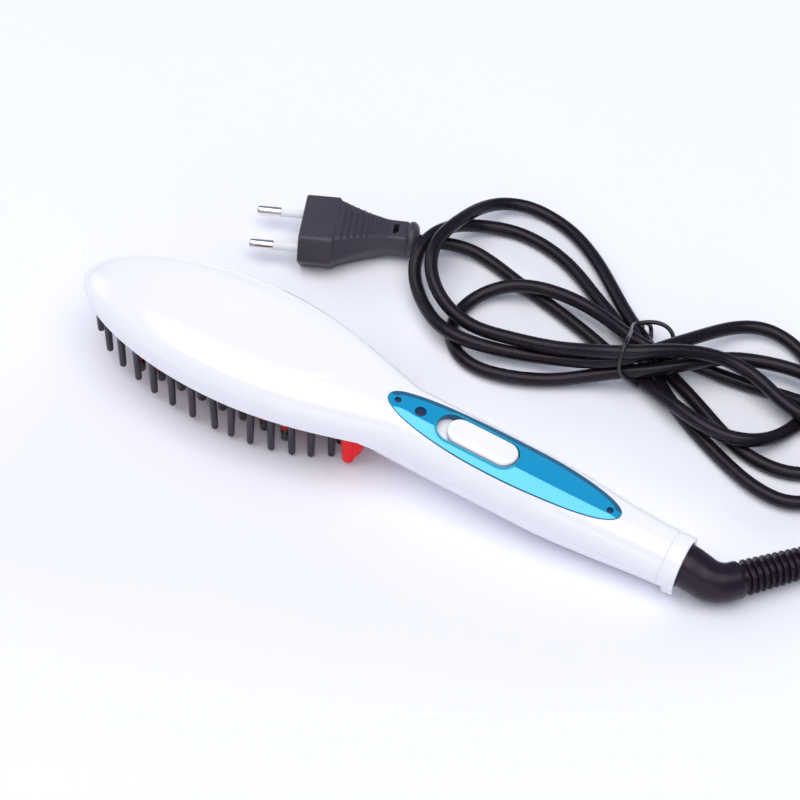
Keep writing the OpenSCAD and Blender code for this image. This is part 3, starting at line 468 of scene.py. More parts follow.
# The raised field on the head's back: its height, the softness of its edge, its length and half its width
FIELD_H, FIELD_EDGE, FIELD_LEN, FIELD_HALF = 0.3, 1.3, 42, 16.8


def to_world(points):
    """From the level frame that the brush is drawn in to the way it lies."""
    x, y, z = np.moveaxis(np.asarray(points, float), -1, 0)
    c, s = math.cos(LAY_TILT), math.sin(LAY_TILT)
    return np.stack([LAY_X + x * c + z * s, y, LAY_Z - x * s + z * c], -1)


def smoothstep(v):
    """An even step from 0 to 1 that starts and ends flat."""
    c = np.clip(v, 0, 1)
    return c * c * (3 - 2 * c)


def tip_angle(x, off=0):
    """Angle of a place on the rounded tip of the head."""
    return np.arccos(np.clip((-WIDE_X - x) / (HEAD_LEN - WIDE_X - off), 0, 1))


def neck_share(x):
    """How much of the head's shape is left on the way to the handle, from 1 to 0."""
    return np.maximum(0, 1 - np.clip((x + WIDE_X) / (NECK_X + WIDE_X), 0, 1) ** 2) ** 1.25


def handle_radius(x):
    return HANDLE_R - (HANDLE_R - END_R) * smoothstep((x - TAPER_X) / (HANDLE_LEN - 2 - TAPER_X))


def centre_height(x):
    return NECK_Z - HANDLE_DROP * (1 - (1 - np.clip((x - DROP_X) / DROP_SPAN, 0, 1)) ** 1.2)


# The way the brush lies, worked out from its two rests as in the CAD model
END_Z = float(centre_height(HANDLE_LEN))
LAY_TILT = math.atan2(END_Z - END_R - FOOT_H, HANDLE_LEN - REST_X)
LAY_X = ((HEAD_LEN - HANDLE_LEN) / 2 * math.cos(LAY_TILT)
    - (RIM_Z + END_Z + END_R) / 2 * math.sin(LAY_TILT))
LAY_Z = REST_X * math.sin(LAY_TILT) + TIP_R * (1 - math.cos(LAY_TILT))


def half_width(x, off=0.0):
    """Half of the brush's width, an offset inside its surface."""
    head = np.maximum(0.2, (HEAD_W / 2 - off) * np.sin(tip_angle(x, off)) ** 1.14)
    return np.where(x < -WIDE_X, head, handle_radius(x) - off + (HEAD_W / 2 - HANDLE_R) * neck_share(x))


def part_height(x):
    """Height of the line where the two shells meet."""
    return centre_height(x) + (RIM_Z - NECK_Z) * neck_share(x)


def top_height(x, off=0.0):
    """Height of the back's crest above the line where the shells meet."""
    head = np.maximum(0.2, (DOME_H - off) * np.sin(tip_angle(x, off)) ** 0.9)
    return np.where(x < -WIDE_X, head, handle_radius(x) - off + (DOME_H - HANDLE_R) * neck_share(x))


def squareness(x):
    """Power of the back's cross-section: 2 is round."""
    side = HANDLE_POW + (2 - HANDLE_POW) * smoothstep((x - ROUND_X) / ROUND_SPAN)
    return np.where(x < -WIDE_X, DOME_POW, side + (DOME_POW - side) * neck_share(x))


def bottom_height(x, off=0.0):
    """Depth of the front shell below the line where the shells meet."""
    grown = (handle_radius(x) - BELLY_MIN) * smoothstep((x - BELLY_X + 3) / BELLY_SPAN)
    return np.maximum(0.4, grown + BELLY_MIN - off)


def back_height(x, y, off=0.0):
    """Height of the back above a place, an offset below its surface."""
    power = squareness(x)
    side = np.clip(np.abs(y) / half_width(x, off), 0, 1) ** power
    return part_height(x) + top_height(x, off) * (1 - side) ** (1 / power)


def squared(wave, power):
    """A sine or cosine made squarer: an outline drawn with it is round at a power of 2."""
    return np.sign(wave) * np.abs(wave) ** (2 / power)


def arc(x, w, h, up, count, edge=0.0):
    """Even points of one half of a cross-section, with its two lower edges rounded."""
    a = np.linspace(0, math.pi, 600)
    power = float(squareness(x)) if up > 0 else 2 + (DOME_POW - 2) * float(neck_share(x))
    y, z = w * squared(np.cos(a), power), h * squared(np.sin(a), power)
    if edge:
        fold = np.clip(1 - z / edge, 0, 1)
        y -= np.sign(y) * edge * (1 - np.sqrt(1 - fold**2))
    s = np.concatenate([[0], np.cumsum(np.hypot(np.diff(y), np.diff(z)))])
    at = np.linspace(0, s[-1], count)
    if edge:
        at = np.concatenate([np.linspace(0, 1.6 * edge, 5), at[2:-2], s[-1] - np.linspace(1.6 * edge, 0, 5)])
    y, z = np.interp(at, s, y), np.interp(at, s, z)
    return np.stack([np.full(len(y), x), y, float(part_height(x)) + up * z], 1)


def wall_loft(stations, height, up, count, lift=None, edge=0.07):
    """Closed skin of a shell half, between its outside and its inside."""
    rings = []
    for x in stations:
        outer = arc(x, float(half_width(x)), float(height(x)), up, count, edge)
        if lift is not None:
            outer[:, 2] += lift(outer[:, 0], outer[:, 1])
        inner = arc(x, float(half_width(x, WALL)), float(height(x, WALL)), up, count // 2)
        rings.append(np.vstack([outer, inner[::-1]]))
    sides = len(rings[0])
    faces = ring_faces(len(rings), sides, closed_ends=False) + end_strips(len(rings), sides)
    return np.vstack(rings), faces


def end_strips(count, sides):
    """Strips that close both ends of a C-shaped section."""
    faces = []
    outer = 2 * sides // 3
    for start, turn in ((0, 1), ((count - 1) * sides, -1)):
        inner = sides - outer
        for j in range(outer - 1):
            k = sides - 1 - round(j * (inner - 1) / (outer - 1))
            k2 = sides - 1 - round((j + 1) * (inner - 1) / (outer - 1))
            face = [start + j, start + j + 1, start + k2] + ([start + k] if k != k2 else [])
            faces.append(tuple(face[::turn]))
    return faces


def head_field(x, y):
    """The slightly raised oval field on the back of the head."""
    along = np.clip((x + WIDE_X) / FIELD_LEN, -1.6, 1)
    edge = FIELD_HALF * np.where(along > 0, (1 - np.clip(along, 0, 1) ** 1.9) ** 0.75, 1 + 0.02 * along)
    inside = smoothstep((edge - np.abs(y)) / FIELD_EDGE + 0.5)
    fade = smoothstep((x + 92) / 34) * smoothstep((-8 - x) / 4)
    return FIELD_H * inside * fade


TIP_STATIONS = -WIDE_X - (HEAD_LEN - WIDE_X) * np.cos(np.radians(np.linspace(1.2, 88, 46)))
BODY_STATIONS = np.concatenate([TIP_STATIONS, np.linspace(-50, 22, 60), np.linspace(24, SHELL_END, 46)])
BELLY_STATIONS = BELLY_X + np.linspace(0, 1, 76) ** 1.4 * (SHELL_END - BELLY_X)


def apply_boolean(piece, cutter, operation="DIFFERENCE"):
    """Cuts or joins a closed mesh by another, and removes that one."""
    modifier = piece.modifiers.new("cut", "BOOLEAN")
    modifier.operation = operation
    modifier.solver = "EXACT"
    modifier.object = cutter
    made = bpy.data.meshes.new_from_object(piece.evaluated_get(bpy.context.evaluated_depsgraph_get()))
    piece.modifiers.clear()
    piece.data = made
    bpy.data.objects.remove(cutter)
    return piece


def prism(name, outline, low, high, place=lambda p: p):
    """A closed upright solid over an outline, used as a cutter."""
    outline = np.asarray(outline, float)
    ring = [np.column_stack([outline, np.full(len(outline), z)]) for z in (low, high)]
    cutter = new_piece(name, place(np.vstack(ring)), ring_faces(2, len(outline)), None, None, False)
    return outward(cutter)


def oval(a, b, power, count, centre=(0, 0)):
    """Even points round a superellipse."""
    t = np.linspace(0, 2 * math.pi, 2000)
    line = np.stack([a * squared(np.cos(t), power), b * squared(np.sin(t), power)], 1)
    return even_points(line, count, closed=True) + centre


PANEL_X, PANEL_LEN, PANEL_W, PANEL_PROUD, PANEL_POW = 52.6, 91.2, 17.9, 0.3, 2.2
# The panel, its switch and its dots lie a little towards the near side
PANEL_Y = -0.7
# Widths of the painted dark lines of shade along the panel's two sides, the gap round the panel, and how deep
# it reaches
RIM_NEAR, FAR_SHADE_BAND = 0.16, 2.4
PANEL_GAP, PANEL_DEPTH = 0.07, 1.9


def make_back_shell():
    """The back of the head and the upper half of the handle, with the panel's room cut out."""
    vertices, faces = wall_loft(BODY_STATIONS, top_height, 1, 90, head_field)
    shell = outward(new_piece("back_cover", to_world(vertices), faces, LOOKS["white"], None))
    room = oval(PANEL_LEN / 2 + PANEL_GAP, PANEL_W / 2 + PANEL_GAP, PANEL_POW, 200, (PANEL_X, PANEL_Y))
    apply_boolean(shell, prism("panel_room", room, 20, 60, to_world))
    shell.data.shade_smooth()
    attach(shell, "brush")
    stand_in(shell, 40, "back_shell")


make_back_shell()


def turned(profile, sides=32):
    """A turned solid about Z from (height, radius) pairs, closed at both ends."""
    angles = full_turn(sides)
    rings = [np.stack([r * np.cos(angles), r * np.sin(angles), np.full(sides, z)], 1) for z, r in profile]
    return loft(rings)


def round_tip(z0, radius, count=7, squash=1.0):
    """Profile of a rounded tip that starts at z0 and widens upwards."""
    a = np.linspace(0.08, math.pi / 2, count)
    return [(z0 + squash * radius * (1 - math.cos(t)), radius * math.sin(t)) for t in a]


def shifted(part, offset):
    """The same part, moved."""
    return part[0] + np.asarray(offset, float), part[1]


def leaned(part, foot, angle, towards):
    """Leans a part about its root by an angle towards a direction in the XY plane."""
    turn = Matrix.Rotation(angle, 3, Vector((-towards[1], towards[0], 0)))
    pivot = np.asarray(foot, float)
    return (part[0] - pivot) @ np.array(turn).T + pivot, part[1]


# The shell screws: places, and name, radius, count of points and depth of the cuts for heads and shanks
SHELL_SCREW_XS = (BELLY_X + 2.9, 84)
SCREW_CUTS = (("screw_hole", 3.2, 40, 1.4), ("screw_bore", 1.7, 32, 6))


def circle(x, radius, count):
    """Even points round a circle whose middle lies on the centre line."""
    return [[x + radius * math.cos(a), radius * math.sin(a)] for a in full_turn(count)]


def make_front_shell():
    """The lower half of the handle, with its two screw holes."""
    vertices, faces = wall_loft(BELLY_STATIONS, bottom_height, -1, 90)
    vertices[:, 2] -= SEAM
    shell = outward(new_piece("front_cover", to_world(vertices), faces, LOOKS["white"], None))
    for x in SHELL_SCREW_XS:
        low = float(part_height(x) - bottom_height(x))
        for name, radius, count, depth in SCREW_CUTS:
            apply_boolean(shell, prism(name, circle(x, radius, count), low - 2, low + depth, to_world))
    shell.data.shade_smooth()
    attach(shell, "brush")
    stand_in(shell, 40, "front_shell")


RING_PROUD = 1.2


def make_collar():
    """The ring at the handle's end, with rounded edges and the foot it rests on."""
    edge = 0.55
    inner = 8.15
    end = COLLAR_LEN + RING_PROUD
    profile = [(-0.21, inner), (-0.21, END_R - 0.04), (-0.17, END_R)]
    profile += [(x, END_R) for x in (1.2, 1.4, 1.6, 1.8)]
    profile += [(end - edge + edge * math.sin(a), END_R - edge + edge * math.cos(a))
        for a in np.linspace(0, math.pi / 2, 7)]
    profile += [(end, inner + 0.5), (end - 0.15, inner + 0.12), (end - 0.5, inner)]
    sides = 120
    angles = full_turn(sides)
    from_foot = np.abs(((angles + math.pi) % (2 * math.pi)) - math.pi)
    foot = np.minimum((END_R + FOOT_H) / np.cos(np.minimum(from_foot, 1)) - END_R, FOOT_H + 0.35)
    foot = foot * smoothstep((0.98 - from_foot) / 0.1)
    rings = []
    for x, r in profile:
        grown = r + np.where(r > END_R - 2, foot, 0) * smoothstep((x - 1.3) / 0.5)
        rings.append(np.stack([HANDLE_LEN - COLLAR_LEN + np.full(sides, x), grown * np.sin(angles),
            END_Z - grown * np.cos(angles)], 1))
    collar = build("end_ring", [loft(rings, loop_faces)], to_world, "white")
    stand_in(collar, 50, "end_collar")


SLOT_X, SLOT_LEN, SLOT_W = 42.7, 31.8, 11.8
SLOT_FALL = float(part_height(SLOT_X - SLOT_LEN / 2) - part_height(SLOT_X + SLOT_LEN / 2))
SLOT_TILT = math.atan2(SLOT_FALL, SLOT_LEN)
KNOB_LEN, KNOB_W, KNOB_X, KNOB_TOP = 26.8, 10.2, 1.7, 1.2
KNOB_CROWN_R, KNOB_FILLET = 21.65, 0.75
SKIRT_Z, SKIRT_T, SKIRT_W, SKIRT_HEAD, SKIRT_TAIL = -3.1, 0.8, 10.4, 17.5, 18.4
PIN_D, LENS_D, LENS_X, DOT_Y = 2.3, 4.0, 20.0, -1.1
PIN_XS = (10.9, 94.2)
DOT_GAP, DOT_PROUD, DOT_DEPTH = 0.08, 0.12, 2.2


def from_slot(points):
    """From the switch opening's own frame to the world."""
    x, y, z = np.moveaxis(np.asarray(points, float), -1, 0)
    c, s = math.cos(SLOT_TILT), math.sin(SLOT_TILT)
    top = float(part_height(SLOT_X) + top_height(SLOT_X))
    return to_world(np.stack([SLOT_X + x * c + z * s, y + PANEL_Y, top - x * s + z * c], -1))


def pill(length, width, count=96):
    """Even points round a pill outline."""
    r = width / 2
    a = np.linspace(-math.pi / 2, math.pi / 2, 60)
    right = np.stack([(length - width) / 2 + r * np.cos(a), r * np.sin(a)], 1)
    return even_points(np.vstack([right, -right, right[:1]]), count, closed=True)


def on_panel(xy, off):
    """Lifts points of the XY plane to the panel's surface."""
    return np.column_stack([xy, back_height(xy[:, 0], xy[:, 1], off)])


def make_panel():
    """The glossy blue panel: crowned like the handle, with painted dark shade on its edges and along its far
    side, and a lip round its opening.
    """
    count, steps = 240, 15
    rings = []
    for k in range(steps + 1):
        inset = (0.0, RIM_NEAR, FAR_SHADE_BAND)[min(k, 2)]
        share = 1 - max(0, k - 2) / steps * 1.05
        centre = (PANEL_X, PANEL_Y)
        xy = oval((PANEL_LEN / 2 - inset) * share, (PANEL_W / 2 - inset) * share, PANEL_POW, count, centre)
        rings.append(on_panel(xy, 0.05 if k == 0 else -PANEL_PROUD))
    under = [on_panel(ring[:, :2], PANEL_DEPTH) for ring in (rings[0], rings[-1])]
    ordered = [*rings[::-1], *under]
    panel = build("blue_panel", [loft(ordered)], to_world, "panel", None)
    apply_boolean(panel, prism("slot_cut", pill(SLOT_LEN - 0.4, SLOT_W - 0.7), -9, 9, from_slot))
    for x, d in ((PIN_XS[0], PIN_D), (PIN_XS[1], PIN_D), (LENS_X, LENS_D)):
        hole = oval(d / 2 + DOT_GAP, d / 2 + DOT_GAP, 2, 40, (x, DOT_Y))
        apply_boolean(panel, prism("dot_cut", hole, 20, 50, to_world))
    # The second material paints shade on the panel's edges and along its far side
    panel.data.materials.append(LOOKS["rim"])
    paint_panel_edge_shade(panel)
    panel.data.shade_smooth()
    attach(panel, "brush")
    stand_in(panel, 28, "control_panel")
    lip = make_lip()
    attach(lip, "brush")


# How far the tilt shifts the panel along X, as it lies above the origin; edge faces are steeper than this
PANEL_SHIFT, EDGE_STEEP = 1.6, 0.55


def paint_panel_edge_shade(panel):
    """Paints dark shade on the panel's outer edge and its cut edges, and a band of painted shade and dark
    reflection along its far side.
    """
    for face in panel.data.polygons:
        x, y, _ = np.array(face.center) * 1000
        x -= LAY_X + PANEL_X * math.cos(LAY_TILT) + PANEL_SHIFT
        across = (abs(x) / (PANEL_LEN / 2)) ** PANEL_POW
        far_edge = PANEL_Y + (PANEL_W / 2) * max(0.0, 1 - across) ** (1 / PANEL_POW)
        # A band along the far side is painted dark, as shade and a dark reflection
        in_far_shade = y > 0 and y > far_edge - FAR_SHADE_BAND
        face.material_index = 1 if abs(face.normal.z) < EDGE_STEEP or in_far_shade else 0


def make_lip():
    """A thin raised lip round the switch opening."""
    half, height = 0.38, 0.3
    profile = [(-half, -0.5), (-half, 0.1), (-0.28, 0.24), (-0.1, height), (0.1, height), (0.28, 0.2),
        (half, 0.0), (half, -0.5)]
    rings = []
    for side, up in profile:
        outline = pill(SLOT_LEN + 0.6 + 2 * side, SLOT_W + 0.3 + 2 * side, 160)
        x = SLOT_X + outline[:, 0] * math.cos(SLOT_TILT)
        y = outline[:, 1] + PANEL_Y
        rings.append(np.column_stack([x, y, back_height(x, y, -PANEL_PROUD) + up]))
    lip = build("panel_lip", [loft(rings, loop_faces)], to_world, "lip", None)
    sharpen(lip, 60)
    return lip


def crown(y):
    """Height of the knob's top across its width."""
    return KNOB_TOP - y**2 / (2 * KNOB_CROWN_R)


def make_knob():
    """The switch knob: a crowned pill with a rounded edge, on a flat skirt under the panel."""
    fillet = KNOB_FILLET
    insets = [0.0, 0.0] + [fillet * (1 - math.cos(a)) for a in np.linspace(0, math.pi / 2, 8)[1:]]
    insets += list(np.linspace(fillet, KNOB_W / 2 - 0.15, 9)[1:])
    drops = [None, fillet] + [fillet * (1 - math.sin(a)) for a in np.linspace(0, math.pi / 2, 8)[1:]]
    drops += [0.0] * 8
    rings = []
    for inset, drop in zip(insets, drops):
        outline = pill(KNOB_LEN - 2 * inset, KNOB_W - 2 * inset, 120)
        z = np.full(len(outline), SKIRT_Z + 0.4) if drop is None else crown(outline[:, 1]) - drop
        rings.append(np.column_stack([outline[:, 0] + KNOB_X, outline[:, 1], z]))
    across = np.linspace(-SKIRT_W / 2, SKIRT_W / 2, 13)
    sag = SKIRT_Z - across**2 / (2 * HANDLE_R)
    section = np.vstack([np.column_stack([across, sag]), np.column_stack([across, sag + SKIRT_T])[::-1]])
    ends = [KNOB_X - SKIRT_HEAD, KNOB_X + SKIRT_TAIL]
    skirt = (np.array([[x, *point] for x in ends for point in section]), ring_faces(2, len(section)))
    knob = build("switch_knob", [loft(rings), skirt], from_slot, "knob", "switch")
    stand_in(knob, 45, "slide_knob")


def make_dots():
    """The two panel screws' caps and the indicator lens, each slightly domed with a fine edge."""
    for name, node, places, d in (("screw_caps", "panel_screws", PIN_XS, PIN_D),
            ("lens", "indicator_lens", (LENS_X,), LENS_D)):
        r = d / 2
        parts = []
        for x in places:
            top = float(back_height(x, DOT_Y)) + DOT_PROUD
            profile = [(top - DOT_DEPTH, r), (top - 0.12, r), (top, r - 0.14)]
            profile += [(top + 0.1 * (1 - s**2), r * s) for s in (0.8, 0.55, 0.3, 0.05)]
            parts.append(shifted(turned(profile, 40), (x, DOT_Y, 0)))
        stand_in(build(name, parts, to_world, "dots"), 50, node)


make_front_shell()
make_collar()
make_panel()
make_knob()
make_dots()

# Bristles, teeth and feet under the head ---------------------------------------------
RING_INSET, RING_REAR, RING_TIP = 4.3, 48, 5.5
FRONT_SHARES = (0.969, 0.838, 0.708, 0.577, 0.446, 0.308, 0.164, 0.025)
REAR_SHARES = (0.16, 0.343, 0.52, 0.6915, 0.8515, 1)
PLATE_Z = RIM_Z + 1.2
TOOTH_LAST, TOOTH_PITCH, CAP_CLEAR, CAP_LEN, CAP_R = -9.6, 9, 1, 7, 1.9
STUD_X, STUD_Y = -2.6, 11.1


def bristle_places():
    """Feet of the guard bristles on one side, from the tip to the neck."""
    side = HEAD_W / 2 - RING_INSET
    front = HEAD_LEN - WIDE_X - RING_TIP
    ring = [(-WIDE_X - front * f, side * (1 - f * f) ** 0.57) for f in FRONT_SHARES]
    ring += [(-WIDE_X + REAR_SPAN * f, side * math.sqrt(1 - (REAR_SPAN * f / RING_REAR) ** 2))
        for f in REAR_SHARES]
    return ring


# Bristles that lean, by place from the tip and by side: degrees, and towards where
LEANS = {(7, -1): (2.2, (1, 0)), (8, -1): (1.6, (-1, 0)), (9, -1): (1.5, (-1, -0.2)),
    (3, -1): (0.7, (0, 1)), (11, -1): (0.8, (1, 0.3)), (5, 1): (1.1, (1, 0)), (9, 1): (1.2, (-1, 0.3))}


def make_bristles():
    """Tapered bristles with round tips and a small collar at the root; a few lean a little."""
    root = 1.5
    profile = round_tip(0.0, TIP_R) + [(6.0, 1.33), (14.0, 1.41), (21.4, root), (22.3, root + 0.12),
        (22.9, root + 0.45), (FRAME_Z, root + 0.5), (FRAME_Z + 0.02, 0.95), (FRAME_Z + 2, 0.95)]
    parts = []
    for i, (x, y) in enumerate(sorted(bristle_places())):
        for side in (-1, 1):
            foot = (x, side * y, FRAME_Z)
            one = shifted(turned(profile, 20), (x, side * y, 0))
            if (i, side) in LEANS:
                angle, towards = LEANS[i, side]
                one = leaned(one, foot, math.radians(angle), (-towards[0], -towards[1]))
                one[0][:, 2] = np.maximum(one[0][:, 2], 0.0)
            parts.append(one)
    bristles = build("guard_bristle_set", parts, to_world, "bristle")
    stand_in(bristles, 50, "guard_bristles")


def tooth_places():
    """Middles of the teeth: two inner rows over the whole plate and two shorter outer rows."""
    inner = [(TOOTH_LAST - i * TOOTH_PITCH, s * 0.5 * TOOTH_PITCH) for i in range(11) for s in (-1, 1)]
    outer = [(TOOTH_LAST - i * TOOTH_PITCH, s * 1.5 * TOOTH_PITCH) for i in range(2, 10) for s in (-1, 1)]
    return inner + outer


def blade(z0, z1, half_x0, half_y0, half_x1, half_y1, count=6):
    """A flat-sided tooth: rounded rectangle sections that widen towards its root."""
    rings = []
    for t in np.linspace(0, 1, count):
        xy = oval(half_x0 + (half_x1 - half_x0) * t, half_y0 + (half_y1 - half_y0) * t, 4, 28)
        rings.append(np.column_stack([xy, np.full(len(xy), z0 + (z1 - z0) * t)]))
    return loft(rings)


def make_teeth():
    """The red teeth with their feet on the plate, and the black caps with a groove on their tips."""
    cap_top = CAP_CLEAR + CAP_LEN
    cap = round_tip(CAP_CLEAR, CAP_R, 8, 1.1) + [(cap_top - 1.6, CAP_R), (cap_top - 1.5, 1.72),
        (cap_top - 1.1, 1.72), (cap_top - 1.0, CAP_R), (cap_top - 0.25, CAP_R), (cap_top - 0.05, 1.75)]
    foot = [(PLATE_Z - 0.9, 1.72), (PLATE_Z - 0.5, 2.1), (PLATE_Z - 0.02, 2.2)]
    teeth, caps = [], []
    for x, y in tooth_places():
        teeth.append(shifted(blade(cap_top - 0.2, PLATE_Z + 0.2, 1.25, 1.5, 1.4, 1.68), (x, y, 0)))
        teeth.append(shifted(turned(foot, 24), (x, y, 0)))
        caps.append(shifted(turned(cap, 24), (x, y, 0)))
    for name, node, parts, look, slot in (("tooth_set", "heater_teeth", teeth, "red_coat", "red_heater"),
            ("cap_set", "tooth_caps", caps, "cap", "black_caps")):
        stand_in(build(name, parts, to_world, look), 50, node)


def make_studs():
    """The two red feet beside the neck: a tapered post with a round tip, and a fin towards the handle."""
    profile = round_tip(2.6, 2.4, 9) + [(8.0, 2.5), (13.0, 2.8), (18.0, 3.1), (21.6, 3.4), (22.6, 3.6),
        (23.1, 3.6), (23.1, 2.3), (25.0, 2.3)]
    fin = np.array([(-1.2, 4.2), (-0.4, 5.4), (2.6, 11.4), (2.8, 12.4), (2.8, 22.4), (-2.6, 22.4)])
    fin_rings = []
    for y, share in ((-1.4, 0.9), (-1.1, 1.0), (1.1, 1.0), (1.4, 0.9)):
        x, z = (fin.mean(0) + (fin - fin.mean(0)) * share).T
        fin_rings.append(np.column_stack([x, np.full(len(fin), y), z]))
    post = shifted(turned(profile, 40), (STUD_X, 0, 0))
    parts = [shifted(part, (0, s * STUD_Y, 0)) for s in (-1, 1) for part in (post, loft(fin_rings))]
    stand_in(build("red_feet", parts, to_world, "stud"), 50, "neck_studs")


make_bristles()
make_teeth()
make_studs()

# Boot, plug and tie -------------------------------------------------------------------
BOOT_R, ELBOW_R, BEND_R, BOOT_DROOP = 7.9, 7.5, 6.6, 2.6
BEND_AT, BEND_RADIUS, BEND_ANGLE = 8.2, 12.5, math.radians(47.5)
SLEEVE_LEN, RIB_N, RIB_R0, RIB_R1, RIB_DEEP, NECK_LEN = 31.6, 13, 6.3, 5.4, 1.0, 3.6
# The grooves are cut a little deeper than the solid's
GROOVE = 1.9


def boot_station(s):
    """Point and direction of the boot's centre line at a distance s from the collar's end."""
    bend = BEND_RADIUS * BEND_ANGLE
    if s < BEND_AT:
        return np.array([s, 0, 0]), np.array([1.0, 0, 0])
    a = min((s - BEND_AT) / BEND_RADIUS, BEND_ANGLE)
    point = np.array([BEND_AT + BEND_RADIUS * math.sin(a), BEND_RADIUS * (1 - math.cos(a)), 0])
    along = np.array([math.cos(a), math.sin(a), 0])
    return point + max(0.0, s - BEND_AT - bend) * along, along


def rib_radius(s, angles):
    """Radius of the ribbed sleeve at a distance s from its start, with webs between the ribs."""
    pitch = SLEEVE_LEN / RIB_N
    k = min(int(s / pitch), RIB_N - 1)
    rib = RIB_R0 + (RIB_R1 - RIB_R0) * k / (RIB_N - 1)
    phase = (s / pitch) % 1 if s < SLEEVE_LEN else 0
    height = smoothstep((phase - 0.54) / 0.15) * smoothstep((1.0 - phase) / 0.15)
    web_at = math.radians(45 + 90 * (k % 2))
    web = 0.22 * smoothstep((np.cos(2 * (angles - web_at)) - 0.9) / 0.08)
    return rib - GROOVE * (1 - np.maximum(height, web))


def make_boot():
    """Elbow, neck and ribbed sleeve in one skin, from inside the collar to the cord's exit."""
    sides = 56
    angles = full_turn(sides)
    bend_end = BEND_AT + BEND_RADIUS * BEND_ANGLE
    smooth_part = [(-4.2, BOOT_R - 0.05), (-0.2, BOOT_R - 0.05), (0.35, BOOT_R - 0.05), (0.7, BOOT_R),
        (1.6, BOOT_R - 0.15)]
    smooth_part += [(s, BOOT_R - 0.15 - (BOOT_R - 0.15 - ELBOW_R) * smoothstep((s - 1.6) / (BEND_AT - 1)))
        for s in np.linspace(2.2, BEND_AT, 8)]
    smooth_part += [(s, ELBOW_R - (ELBOW_R - BEND_R) * smoothstep((s - BEND_AT) / (bend_end + 1 - BEND_AT)))
        for s in np.linspace(BEND_AT, bend_end + 1, 24)[1:]]
    smooth_part += [(bend_end + NECK_LEN - 1.2, BEND_R - 0.05), (bend_end + NECK_LEN - 0.7, BEND_R - 0.45),
        (bend_end + NECK_LEN - 0.05, RIB_R0 - GROOVE)]
    stations = [(s, np.full(sides, r)) for s, r in smooth_part]
    ribbed = np.linspace(0.0, SLEEVE_LEN, RIB_N * 18 + 1)
    stations += [(bend_end + NECK_LEN + s, rib_radius(s, angles)) for s in ribbed]
    end = bend_end + NECK_LEN + SLEEVE_LEN
    stations += [(end, np.full(sides, RIB_R1 - RIB_DEEP - 0.3)), (end, np.full(sides, 2.7))]
    rings = []
    for s, radii in stations:
        point, along = boot_station(s)
        across = np.array([-along[1], along[0], 0])
        ring = point + radii[:, None] * (np.cos(angles)[:, None] * across
            + np.sin(angles)[:, None] * np.array([0, 0, 1]))
        low = BOOT_DROOP * smoothstep(s / 14)
        rings.append(ring + [HANDLE_LEN, 0, END_Z - low])
    boot = build("boot_and_sleeve", [loft(rings)], to_world, "boot", "swivel")
    return stand_in(boot, 60, "cord_boot")


PLUG_AT, PLUG_TURN = np.array([-74.9, 75.9, 8.2]), math.radians(22)
PIN_GAP, PIN_LEN, PIN_SLEEVE, PIN_LEAN = 18.6, 20.0, 10.3, math.radians(0.1)
# Sections of the plug: distance from its face, width, flat on top, height
PLUG_SECTIONS = np.array([[0, 33.8, 23.0, 13.9], [0.2, 34.5, 23.6, 14.7], [0.6, 34.8, 23.9, 15],
    [12.9, 34.8, 23.9, 15], [13.4, 34.4, 23.5, 14.9], [14.2, 31.6, 21.6, 14.2], [20.5, 24.0, 16.8, 12.9],
    [26.5, 17.8, 13.2, 11.4], [33.4, 12.9, 10.3, 10.0], [40.8, 12.4, 10.0, 9.9], [41.6, 12.0, 9.8, 9.6]])
PLUG_SIDE, PLUG_THICK = 0.6, 1.09
COARSE_RIBS = (16.2, 18.8, 21.3, 23.8, 26.1)
FINE_RIBS = tuple(27.7 + 1.05 * i for i in range(7))
# Height and half width of each kind of rib
COARSE_H, COARSE_HALF, FINE_H, FINE_HALF = 0.85, 0.42, 0.42, 0.3


def hexagon_ring(width, flat, height, corner, count=120):
    """Even points round a hexagon with rounded corners."""
    points = np.array([[-flat / 2, -height / 2], [flat / 2, -height / 2], [width / 2, 0],
        [flat / 2, height / 2], [-flat / 2, height / 2], [-width / 2, 0]])
    line = []
    for before, here, after in zip(np.roll(points, 1, 0), points, np.roll(points, -1, 0)):
        into = (before - here) / np.linalg.norm(before - here)
        out = (after - here) / np.linalg.norm(after - here)
        for t in np.linspace(0, 1, 7):
            line.append(here + corner * ((1 - t) ** 2 * into + t**2 * out))
    line.append(line[0])
    return even_points(np.array(line), count, closed=True)


def from_plug(points):
    """From the plug's own frame (x from its face to its ring) to the world."""
    x, y, z = np.moveaxis(np.asarray(points, float), -1, 0)
    c, s = math.cos(PLUG_TURN), math.sin(PLUG_TURN)
    return np.stack([x * c - y * s, x * s + y * c, z], -1) + PLUG_AT


def rib_height(x, ribs, half):
    """Share of a rib's height at a distance from the plug's face."""
    return sum(math.exp(-(((x - at) / half) ** 2)) for at in ribs)


